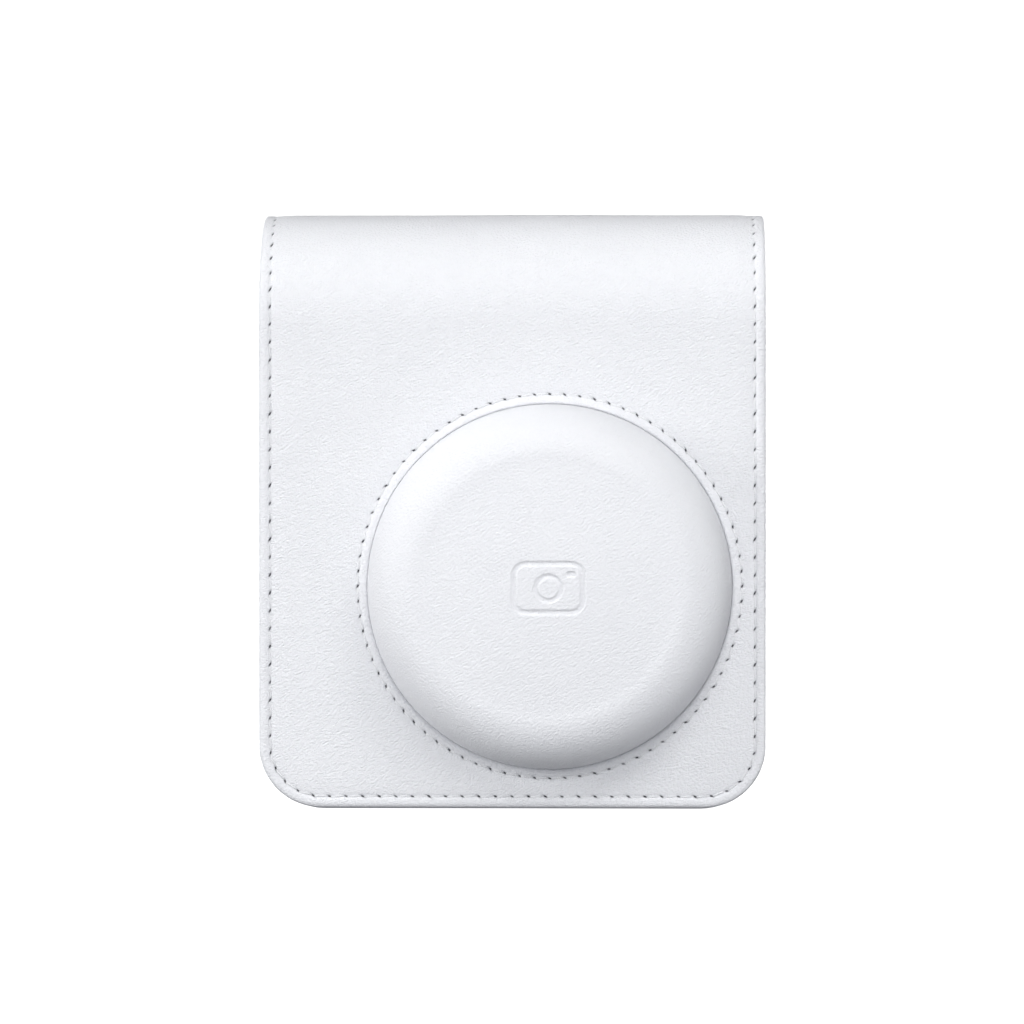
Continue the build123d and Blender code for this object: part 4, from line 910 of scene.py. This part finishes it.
def strip_stitches(name, edge, mat, bridge=False):
    """The stitches along a strip half's edge; a bridge adds the two that cross the middle of the top."""
    ends = np.stack(edge.at(edge.holes, SEAM), axis=-1)
    pairs = list(zip(ends[:-1], ends[1:]))
    if bridge:
        pairs += [((x, -s), (x, s)) for x, s in (ends[0], ends[-1])]
    return sew(name, pairs, edge.strip.place, mat)


def ring_stitches(name, strip, mat):
    """The stitches round the lens cup."""
    angle = 2 * pi * np.arange(RING_COUNT) / RING_COUNT
    ends = np.stack(cup_circle(strip, RING_R, angle), axis=-1)
    return sew(name, zip(ends, np.roll(ends, -1, axis=0)), strip.place, mat)


# ---- the lens cup

CUP_WALL_R = 40.03
CUP_CROWN = 1.2
CUP_SHOULDER = 12.0
CUP_SKIN_T, CUP_LINING_T = 2.4, 3.0
FACE_R, HUB_R = 11.0, 0.4  # inside the first, the face has close rings for the sign
CUP_FLANGE = [(44.6, -1.15), (42.0, -1.05), (40.15, -1.0)]
CUP_FLANGE_BACK = [(40.1, -2.5), (44.4, -2.4), (44.7, -2.0)]
CUP_SIDES = 288
PICTURE_W, PICTURE_H = 15.0, 10.6
DEBOSS = 0.34


def cup_profile(depth, start_h):
    """The cup's section (radius, height) from its wall's foot to its middle, at a depth under its face."""
    radius, edge = CUP_WALL_R - depth, CUP_H - depth - CUP_CROWN
    shoulder = CUP_SHOULDER - depth
    foot, face_r = edge - shoulder, radius - shoulder
    rows = [(radius + 0.12 * sin(pi * t), start_h + t * (foot - start_h)) for t in np.linspace(0, 1, 7)]
    for angle in np.linspace(0, pi / 2, 30)[1:]:
        bulge = 1.0 + 0.02 * sin(2 * angle)
        rows.append((face_r + shoulder * cos(angle) * bulge, foot + shoulder * sin(angle) * bulge))
    for r in np.concatenate([np.linspace(face_r, FACE_R, 20)[1:], np.arange(10.8, 0.1, -0.2)]):
        rows.append((r, edge + CUP_CROWN * (1 - (r / face_r) ** 2) ** 1.2))
    return rows


def plain_profile(depth, start_h):
    """The cup's section without the close rings for the sign."""
    return [(r, h) for r, h in cup_profile(depth, start_h) if r > FACE_R or r < HUB_R]


def pictogram(x, z):
    """Depth of the pressed-in camera sign: a rounded frame, a lens ring and a small finder."""

    def stroke(distance, width):
        """A line with soft sides."""
        return 1.0 - smoothstep(width / 2 - 0.16, width / 2 + 0.16, np.abs(distance))

    body = stroke(rect_distance(x, z, 0.0, 0.0, PICTURE_W, PICTURE_H, 2.6), 1.0)
    ring = stroke(np.hypot(x, z + 0.1) - 2.7, 0.95)
    flash = 1.0 - smoothstep(-0.1, 0.2, rect_distance(x, z, 4.9, 3.0, 2.0, 1.1, 0.5))
    return np.maximum(np.maximum(body, ring), flash)


def turned(name, over, under, sides, mat, sculpt=None):
    """A closed round shell from its outer section and its inner one, the outer one's heights sculpted."""
    angle = np.linspace(0, 2 * pi, sides, endpoint=False)
    places = []
    for number, (radius, height) in enumerate(over + under):
        x, z = radius * np.cos(angle), radius * np.sin(angle)
        h = np.full(sides, float(height))
        if sculpt and number < len(over):
            h = sculpt(x, z, h)
        places.append(np.stack([CUP_X + x, FLAP_Y - h, CUP_Z + z], axis=-1))
    return finish_mesh(name, np.vstack(places), grid_faces(sides, len(places), len(over) - 1), mat)


def cup_surface(x, z, h):
    """The cup's face: soft unevenness above its wall, and the pressed-in sign."""
    if h[0] <= 0:
        return h
    h = h + 1.3 * smoothstep(2.0, 12.0, h) * undulation(x + 40.0, z + 11.0)
    return h - DEBOSS * pictogram(x, z)


def lens_cup(mat):
    """The moulded leather cup: wall, soft shoulder and crowned face, with a pressed-in sign."""
    over = CUP_FLANGE + cup_profile(0.0, -0.7)
    under = plain_profile(CUP_SKIN_T, -2.2)[::-1] + CUP_FLANGE_BACK
    return turned("lens_cup", over, under, CUP_SIDES, mat, cup_surface)


def cup_lining(mat):
    """The lining inside the cup."""
    over = plain_profile(CUP_SKIN_T + 0.05, -STRIP_T)
    under = plain_profile(CUP_LINING_T, -STRIP_T)[::-1]
    return turned("lens_cup_inside", over, under, LINING_SIDES, mat)


# ---- the gusset: both sides and the bottom

gusset_low, gusset_high = span("gusset_leather")
GUSSET_X = gusset_high.x
GUSSET_FRONT, GUSSET_REAR = gusset_low.y, gusset_high.y
GUSSET_TOP = gusset_high.z
GUSSET_R = 12.5
TOP_CLEAR = TOP_Z - GUSSET_TOP  # from the strip's outside to the gusset's top edge


def gusset_top(y):
    """The height of the gusset's top edge, which follows the strip from below."""
    front_y, rear_y = FLAP_Y + FRONT_BEND, BACK_Y - REAR_BEND
    front_r, rear_r = FRONT_BEND - TOP_CLEAR, REAR_BEND - TOP_CLEAR
    reach = np.where(y < front_y, front_y - y, np.maximum(y - rear_y, 0.0))
    radius = np.where(y < front_y, front_r, rear_r)
    drop = radius - np.sqrt(np.maximum(radius**2 - np.minimum(reach, radius) ** 2, 0.0))
    return GUSSET_TOP - drop


SIDE_ROWS, CORNER_ROWS, HALF_BOTTOM_ROWS = 34, 12, 22
SHEET_ROWS = 22


def u_path(y, depth):
    """Points down one side, along the bottom and up the other side, at one y and a depth inside the face."""
    half = GUSSET_X - depth
    radius = GUSSET_R - depth
    corner_x = GUSSET_X - GUSSET_R
    top = float(gusset_top(np.array(y)))
    down = np.linspace(0.0, 1.0, SIDE_ROWS)
    left = [(-half, top + (GUSSET_R - top) * t) for t in down]
    turn = np.linspace(pi, 1.5 * pi, CORNER_ROWS + 1)[1:]
    left += [(-corner_x + radius * cos(a), GUSSET_R + radius * sin(a)) for a in turn]
    across = np.linspace(-corner_x, 0.0, HALF_BOTTOM_ROWS + 1)[1:]
    left += [(x, depth) for x in across]
    right = [(-x, z) for x, z in reversed(left[:-1])]
    return np.array(left + right)


def gusset_sheet(name, section, mat, soft):
    """A closed U-shaped sheet; the section is a loop of (y, depth) with matching outer and inner halves."""
    loops = []
    for y, depth in section:
        path = u_path(y, depth)
        x, z = path[:, 0], path[:, 1]
        wall = smoothstep(GUSSET_R, GUSSET_R + 14.0, z) * smoothstep(0.0, 12.0, gusset_top(np.array(y)) - z)
        middle = sin(pi * (y - GUSSET_FRONT) / (GUSSET_REAR - GUSSET_FRONT))
        wave = 0.5 + 0.28 * np.sin(z / 11.0 + y / 19.0) + 0.22 * np.sin(z / 6.7 - y / 8.0 + 1.0)
        inward = soft * wall * middle * wave
        loops.append(np.stack([x - np.sign(x) * inward, np.full(len(x), y), z], axis=-1))
    count, total = len(loops[0]), len(loops)
    faces = grid_faces(count, total, closed=False)
    for i in range(total // 2 - 1):
        mate = total - 1 - i
        for k in (0, count - 1):
            faces.append((i * count + k, (i + 1) * count + k, (mate - 1) * count + k, mate * count + k))
    return finish_mesh(name, np.vstack(loops), faces, mat)


def gusset_section(front, outer, inner, roll):
    """A sheet's section: its outer face from rear to front, a rounded front edge and its inner face."""
    half = (inner - outer) / 2
    near = [(y, outer) for y in np.linspace(GUSSET_REAR, front + roll, SHEET_ROWS)]
    rounded = [pi / 2 * t for t in (0.25, 0.5, 0.75)]
    near += [(front + roll - roll * sin(a), outer + half * (1 - cos(a))) for a in rounded]
    far = [(y, 2 * (outer + half) - depth) for y, depth in reversed(near)]
    return near + far


# ---- the leather-covered front frame

frame_low, frame_high = span("front_frame")
FRAME_EDGE = 1.6  # its stitch line's distance from the edge
FRAME_W = 6.0
CORNER_TAB = 22.0
FRAME_OUT_R = 10.7


def rounded_outline(corners, step):
    """An outline from anticlockwise (x, z, radius) corners: even points and their inward directions."""
    rows = []
    total = len(corners)
    for i in range(total):
        here = np.array(corners[i][:2], float)
        back = np.array(corners[i - 1][:2], float) - here
        ahead = np.array(corners[(i + 1) % total][:2], float) - here
        back, ahead = back / np.linalg.norm(back), ahead / np.linalg.norm(ahead)
        half = np.arccos(np.clip(back @ ahead, -1, 1)) / 2
        radius = corners[i][2]
        centre = here + (back + ahead) / np.linalg.norm(back + ahead) * radius / sin(half)
        bend = 1.0 if ahead[0] * back[1] - ahead[1] * back[0] > 0 else -1.0
        first = here + back * radius / np.tan(half) - centre
        last = here + ahead * radius / np.tan(half) - centre
        start = np.arctan2(first[1], first[0])
        turn = np.arctan2(first[0] * last[1] - first[1] * last[0], first @ last)
        count = max(3, int(abs(turn) * radius / step) + 1)
        for t in np.linspace(0, 1, count):
            spoke = np.array([cos(start + turn * t), sin(start + turn * t)])
            rows.append((centre + radius * spoke, -bend * spoke))
    points, normals = [], []
    for (a, normal_a), (b, normal_b) in zip(rows, rows[1:] + rows[:1]):
        pieces = max(1, round(np.linalg.norm(b - a) / step))
        for t in np.arange(pieces) / pieces:
            points.append(a + (b - a) * t)
            normals.append(normal_a + (normal_b - normal_a) * t)
    return np.array(points), np.array(normals)


def inside_outline(outline):
    """A function that says how far inside an outline a place is."""
    start, end = outline, np.roll(outline, -1, axis=0)
    edge = end - start
    length2 = (edge**2).sum(axis=1)

    def keep(x, s):
        best = np.full(len(x), 1e9)
        odd = np.zeros(len(x), bool)
        for a, b, e, l2 in zip(start, end, edge, length2):
            t = np.clip(((x - a[0]) * e[0] + (s - a[1]) * e[1]) / l2, 0, 1)
            best = np.minimum(best, np.hypot(x - a[0] - t * e[0], s - a[1] - t * e[1]))
            crosses = (a[1] > s) != (b[1] > s)
            odd ^= crosses & (x < a[0] + (s - a[1]) * e[0] / (e[1] if e[1] else 1e-9))
        return np.where(odd, best, -best)

    return keep


def frame_corners():
    """The front frame's outline: a U, its inner corners cut off by the corner tabs."""
    out_x, low, top = frame_high.x, frame_low.z, frame_high.z
    in_x, in_z = out_x - FRAME_W, low + FRAME_W
    half = [(out_x, low, FRAME_OUT_R), (out_x, top, 2.9), (in_x, top, 2.9)]
    half += [(in_x, in_x - CORNER_TAB, 3.0), (CORNER_TAB + in_z, in_z, 3.0)]
    return half + [(-x, z, radius) for x, z, radius in reversed(half)]


FRAME_SECTION = [
    (2.0, -0.14), (1.86, -0.24), (1.73, -0.33), (1.6, -0.36), (1.47, -0.32), (1.28, -0.12), (1.0, 0.0),
    (0.65, -0.06), (0.33, -0.3), (0.08, -0.6), (0.0, -0.85), (0.1, -1.15), (0.35, -1.4), (0.8, -1.55),
]


def frame_place(points):
    """Points (x, z, height over the frame's front face) as points in space."""
    x, z, h = points.T
    return np.stack([x, frame_low.y - h, z], axis=-1)


def front_frame(mat):
    """The stiff leather-covered frame behind the front edge of the gusset."""
    outline, away = rounded_outline(frame_corners(), 1.0)
    skin = Skin()
    rows = [skin.loop(*(outline + away * inset).T, h) for inset, h in FRAME_SECTION]
    skin.bands(rows, closed=True)
    for i, flip in ((0, False), (-1, True)):
        inset, h = FRAME_SECTION[i]
        keep = inside_outline(outline + away * inset)
        skin.fill(rows[i], [], flat_at(h), 3.0, keep, flip, top_line=False)
    return skin.finish("front_frame_leather", frame_place, mat)


def frame_stitches(mat):
    """The stitches along the frame's outer edge."""
    outline, away = rounded_outline(frame_corners(), 0.5)
    low_edge = outline[:, 1] < frame_low.z + FRAME_OUT_R
    outer = (np.abs(outline[:, 0]) > frame_high.x - 0.01) | (low_edge & (away[:, 1] > -0.01))
    outer &= (outline[:, 1] < frame_high.z - 4.0) & (away[:, 1] > -0.01)
    line = (outline + away * FRAME_EDGE)[outer]
    line = line[np.argsort(np.arctan2(line[:, 0], FRAME_OUT_R - line[:, 1]))]
    travel = np.concatenate([[0.0], np.cumsum(np.linalg.norm(np.diff(line, axis=0), axis=1))])
    marks = np.arange(1.0, travel[-1], 3.8)
    ends = np.stack([np.interp(marks, travel, line[:, 0]), np.interp(marks, travel, line[:, 1])], axis=-1)
    return sew("front_frame_thread", zip(ends[:-1], ends[1:]), frame_place, mat)


# ---- the folded tabs that hold the strap rings

tab_low, tab_high = span("ring_tabs")
TAB_Y = (tab_low.y + tab_high.y) / 2
TAB_W = tab_high.y - tab_low.y
TAB_LAYER = 0.76
LOOP_R = 0.99
TAB_Z = tab_low.z + 1.55
TAB_TOP = tab_high.z
TAB_NEAR = GUSSET_X + 0.4  # the middle of the layer against the gusset
TAB_FAR = TAB_NEAR + TAB_LAYER + 0.04
TAB_EDGE_R = 0.3


def tab_path():
    """The folded tab's middle line (out, z): up the outside, from round the ring's bar."""
    bar = GUSSET_X + 1.55
    path = [(TAB_NEAR, z) for z in np.linspace(TAB_TOP, TAB_Z + 0.6, 14)]
    for angle in np.linspace(pi, 2 * pi + 0.75, 18):
        path.append((bar + LOOP_R * cos(angle), TAB_Z + LOOP_R * sin(angle)))
    start = path[-1]
    for t in np.linspace(0, 1, 6)[1:]:
        blend = t * t * (3 - 2 * t)
        path.append((start[0] + (TAB_FAR - start[0]) * blend, start[1] + 2.6 * t))
    path += [(TAB_FAR, z) for z in np.linspace(path[-1][1] + 0.8, TAB_TOP, 12)]
    return np.array(path)


def tab_section():
    """The tab's section (along y, through its thickness), with rounded edges."""
    half, thick = TAB_W / 2 - 0.05, TAB_LAYER / 2
    section = []
    for sy, st in ((1, 1), (-1, 1), (-1, -1), (1, -1)):
        turns = (0, 30, 60, 90) if sy == st else (90, 60, 30, 0)
        for angle in turns:
            y = sy * (half - TAB_EDGE_R + TAB_EDGE_R * cos(radians(angle)))
            section.append((y, st * thick * (0.35 + 0.65 * sin(radians(angle)))))
    across = [(y, thick) for y in np.linspace(half - 0.6, -half + 0.6, 9)]
    return section[:4] + across + section[4:]


def ring_tab(name, side, mat):
    """A strip of leather folded round the ring's bar."""
    path, section = tab_path(), tab_section()
    ahead = np.gradient(path, axis=0)
    ahead = ahead / np.linalg.norm(ahead, axis=1)[:, None]
    through = np.stack([-ahead[:, 1], ahead[:, 0]], axis=-1)
    places = []
    for point, normal in zip(path, through):
        thin = 0.64 + 0.36 * smoothstep(1.2, 3.6, point[1] - TAB_Z)
        for y, t in section:
            out, z = point + normal * t * thin
            places.append((side * out, TAB_Y + y, z))
    return finish_mesh(name, places, grid_faces(len(section), len(path), len(path) - 1), mat)


def tab_stitches(name, side, mat):
    """Two short rows of stitches down a tab's outside."""
    face = TAB_FAR + TAB_LAYER / 2 + 0.3
    heights = np.linspace(TAB_TOP - 1.2, TAB_Z + 4.6, 5)
    pairs = []
    for edge_y in (TAB_Y - 3.3, TAB_Y + 3.3):
        pairs += [((edge_y, high), (edge_y, low)) for high, low in zip(heights, heights[1:])]

    def place(points):
        """Points (y, z, height over the tab) as points in space."""
        y, z, h = points.T
        return np.stack([side * (face + h), y, z], axis=-1)

    return sew(name, pairs, place, mat)


# ---- materials of the camera inside

SATIN = dict(coat_weight=0.25, coat_roughness=0.25)
BUTTON_COAT = dict(coat_weight=0.6, coat_roughness=0.1)
JACKET_COAT = dict(coat_weight=0.7, coat_roughness=0.08)
MASK_COAT = dict(coat_weight=0.4, coat_roughness=0.2)
SUEDE_COLOUR, SUEDE_SHADE = (0.66, 0.67, 0.70), (0.55, 0.56, 0.60)
THREAD_COLOUR = (0.88, 0.885, 0.90)


def camera_looks():
    """One material for each of the record's slots that keeps its CAD shapes."""
    looks = {
        "camera_shell": moulded("shell_plastic", (0.80, 0.815, 0.85), 0.34, 0.05, **SATIN),
        "trim_plastic": moulded("trim_plastic", (0.62, 0.64, 0.69), 0.38, 0.05, **SATIN),
        "ring_plastic": moulded("ring_plastic", (0.70, 0.72, 0.77), 0.46, 0.25, 3200.0),
        "white_plastic": moulded("white_plastic", (0.84, 0.84, 0.84), 0.5, 0.1),
        "button_plastic": moulded("button_plastic", (0.60, 0.62, 0.68), 0.2, **BUTTON_COAT),
        "black_plastic": moulded("black_plastic", (0.018, 0.018, 0.02), 0.5, 0.45, 2600.0),
        "black_metal": moulded("black_painted_metal", (0.02, 0.02, 0.021), 0.42, 0.2, 1800.0),
        "cell_jacket": moulded("cell_jacket", (0.12, 0.13, 0.16), 0.25, **JACKET_COAT),
        "circuit": moulded("solder_mask", (0.015, 0.13, 0.055), 0.3, 0.1, **MASK_COAT),
        "capacitor_sleeve": moulded("shrink_sleeve", (0.025, 0.03, 0.07), 0.3, 0.05, coat_weight=0.5),
        "film": moulded("film_sheet", (0.86, 0.86, 0.85), 0.3, 0.1, 600.0, coat_weight=0.3),
        "chrome": metal("bright_chrome", (0.80, 0.80, 0.82), 0.10, (1.0, 1.0, 1.0), 700.0, 0.08),
        "steel": metal("satin_steel", (0.56, 0.56, 0.58), 0.32, (0.08, 1.0, 1.0), 1600.0, 0.3),
        "magnet": metal("nickel_plate", (0.68, 0.68, 0.70), 0.2, (1.0, 1.0, 1.0), 900.0, 0.15),
        "brass": metal("machined_brass", (0.72, 0.53, 0.24), 0.26, (1.0, 0.06, 1.0), 1500.0, 0.25),
        "reflector": metal("polished_aluminium", (0.86, 0.86, 0.87), 0.12, (1.0, 0.2, 1.0), 800.0, 0.1),
        "clear_window": clear("clear_window", (0.90, 0.92, 0.94), 0.35),
        "smoked_window": clear("smoked_window", (0.06, 0.06, 0.07), 0.72),
        "lens_glass": clear("coated_glass", (0.03, 0.035, 0.06), 0.8, 0.03),
        "board": moulded("grey_board", (0.52, 0.50, 0.46), 0.9, 0.4, 900.0),
        "padding": moulded("foam", (0.74, 0.74, 0.72), 0.95, 0.8, 1400.0),
    }
    looks["leather"] = leather("plain_leather")
    looks["lining"] = suede("plain_lining", SUEDE_COLOUR, SUEDE_SHADE)
    looks["thread"] = thread_material("plain_thread", THREAD_COLOUR)
    return looks


def dress_camera():
    """Gives each carried-over CAD node the material of its slot."""
    looks = camera_looks()
    for row in frame["record"]["subparts"]:
        holder = nodes[row["node"]]
        for place in holder.material_slots:
            place.material = looks[row["material_slot"]]


# ---- put it together

add_camera()
add_floor()
add_world()
add_lights()

# the case leather gets painted shade in its needle holes
white_leather = leather("case_leather", grain=0.55, fold=3100.0, shade_holes=True)
cup_leather = leather("cup_leather", grain=0.38)
white_suede = suede("lining_suede", SUEDE_COLOUR, SUEDE_SHADE)
white_thread = thread_material("thread_white", THREAD_COLOUR)

front = Strip(FLAP_Y, FRONT_BEND, FLAP_FOOT)
rear = Strip(BACK_Y, REAR_BEND, 0.0)
front_edge, rear_edge = Edge(front), Edge(rear)


def fold_line(start_y, start_drop, end_y, end_drop):
    """A fold's start and end in metres, each a y and a drop below the top."""
    return [(0.0, y * MM, (TOP_Z - drop) * MM) for y, drop in ((start_y, start_drop), (end_y, end_drop))]


REAR_FOLD = fold_line(BACK_Y, REAR_BEND, BACK_Y - REAR_BEND, 0.0)
FRONT_FOLD = fold_line(FLAP_Y + 15.2, 14.0, FLAP_Y - 7.8, 30.0)


def over_front(piece, *replaced, slot):
    """A piece over the top and the front flap: its placement is baked into its points and the CAD solids it
    stands for are hidden.
    """
    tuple(FRONT_FOLD[0])
    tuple(FRONT_FOLD[1])
    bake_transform(piece)
    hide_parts(*replaced)


def over_rear(piece, *replaced, slot):
    """A piece over the back and the top: its placement is baked into its points and the CAD solids it stands
    for are hidden.
    """
    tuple(REAR_FOLD[0])
    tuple(REAR_FOLD[1])
    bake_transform(piece)
    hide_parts(*replaced)


front_skin = strip_skin("front_flap_leather", front_edge, white_leather)
openings = back_openings(rear)
rear_skin = strip_skin("back_panel_leather", rear_edge, white_leather, openings)
front_solids = ("flap_front_leather", "flap_front_board", "flap_top_leather", "flap_top_padding")
over_front(front_skin, *front_solids, slot="leather")
over_rear(rear_skin, "back_leather", "back_board", slot="leather")

front_lining = strip_lining("front_flap_lining", front_edge, white_suede, hole_r=LINING_HOLE_R)
rear_lining = strip_lining("back_panel_lining", rear_edge, white_suede, openings=openings)
over_front(front_lining, "flap_front_lining", "flap_top_lining", slot="lining")
over_rear(rear_lining, "back_lining", slot="lining")

front_thread = strip_stitches("front_flap_thread", front_edge, white_thread, bridge=True)
rear_thread = strip_stitches("back_panel_thread", rear_edge, white_thread)
over_front(front_thread, "flap_front_stitches", "flap_top_stitches", slot="thread")
over_rear(rear_thread, "back_stitches", slot="thread")

ring_thread = ring_stitches("lens_cup_thread", front, white_thread)
cup = lens_cup(cup_leather)
cup_inside = cup_lining(white_suede)
for piece, replaced, slot in (
    (ring_thread, ["lens_cup_stitches"], "thread"),
    (cup, ["lens_cup_leather", "lens_cup_foam"], "leather"),
    (cup_inside, ["lens_cup_lining"], "lining"),
):
    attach(piece, "flap_front")
    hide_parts(*replaced)

gusset_leather = leather("gusset_leather", grain=0.5)
side_section = gusset_section(GUSSET_FRONT, outer=0.0, inner=1.0, roll=0.7)
sides = gusset_sheet("gusset_sides", side_section, gusset_leather, soft=0.32)
lining_section = gusset_section(GUSSET_FRONT + 0.5, outer=1.03, inner=1.78, roll=0.4)
sides_lining = gusset_sheet("gusset_side_lining", lining_section, white_suede, soft=0.0)
frame_cover = front_frame(gusset_leather)
frame_thread = frame_stitches(white_thread)
case_pieces = [
    (sides, ["gusset_leather"], "leather"),
    (sides_lining, ["gusset_lining"], "lining"),
    (frame_cover, ["front_frame"], "leather"),
    (frame_thread, [], "thread"),
]
for side, name in ((-1, "left"), (1, "right")):
    case_pieces.append((ring_tab(f"ring_tab_{name}", side, gusset_leather), ["ring_tabs"], "leather"))
    case_pieces.append((tab_stitches(f"ring_tab_thread_{name}", side, white_thread), [], "thread"))
for piece, replaced, slot in case_pieces:
    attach(piece, "case")
    if replaced:
        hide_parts(*replaced)

dress_camera()
bpy.context.scene.view_settings.view_transform = "Standard"
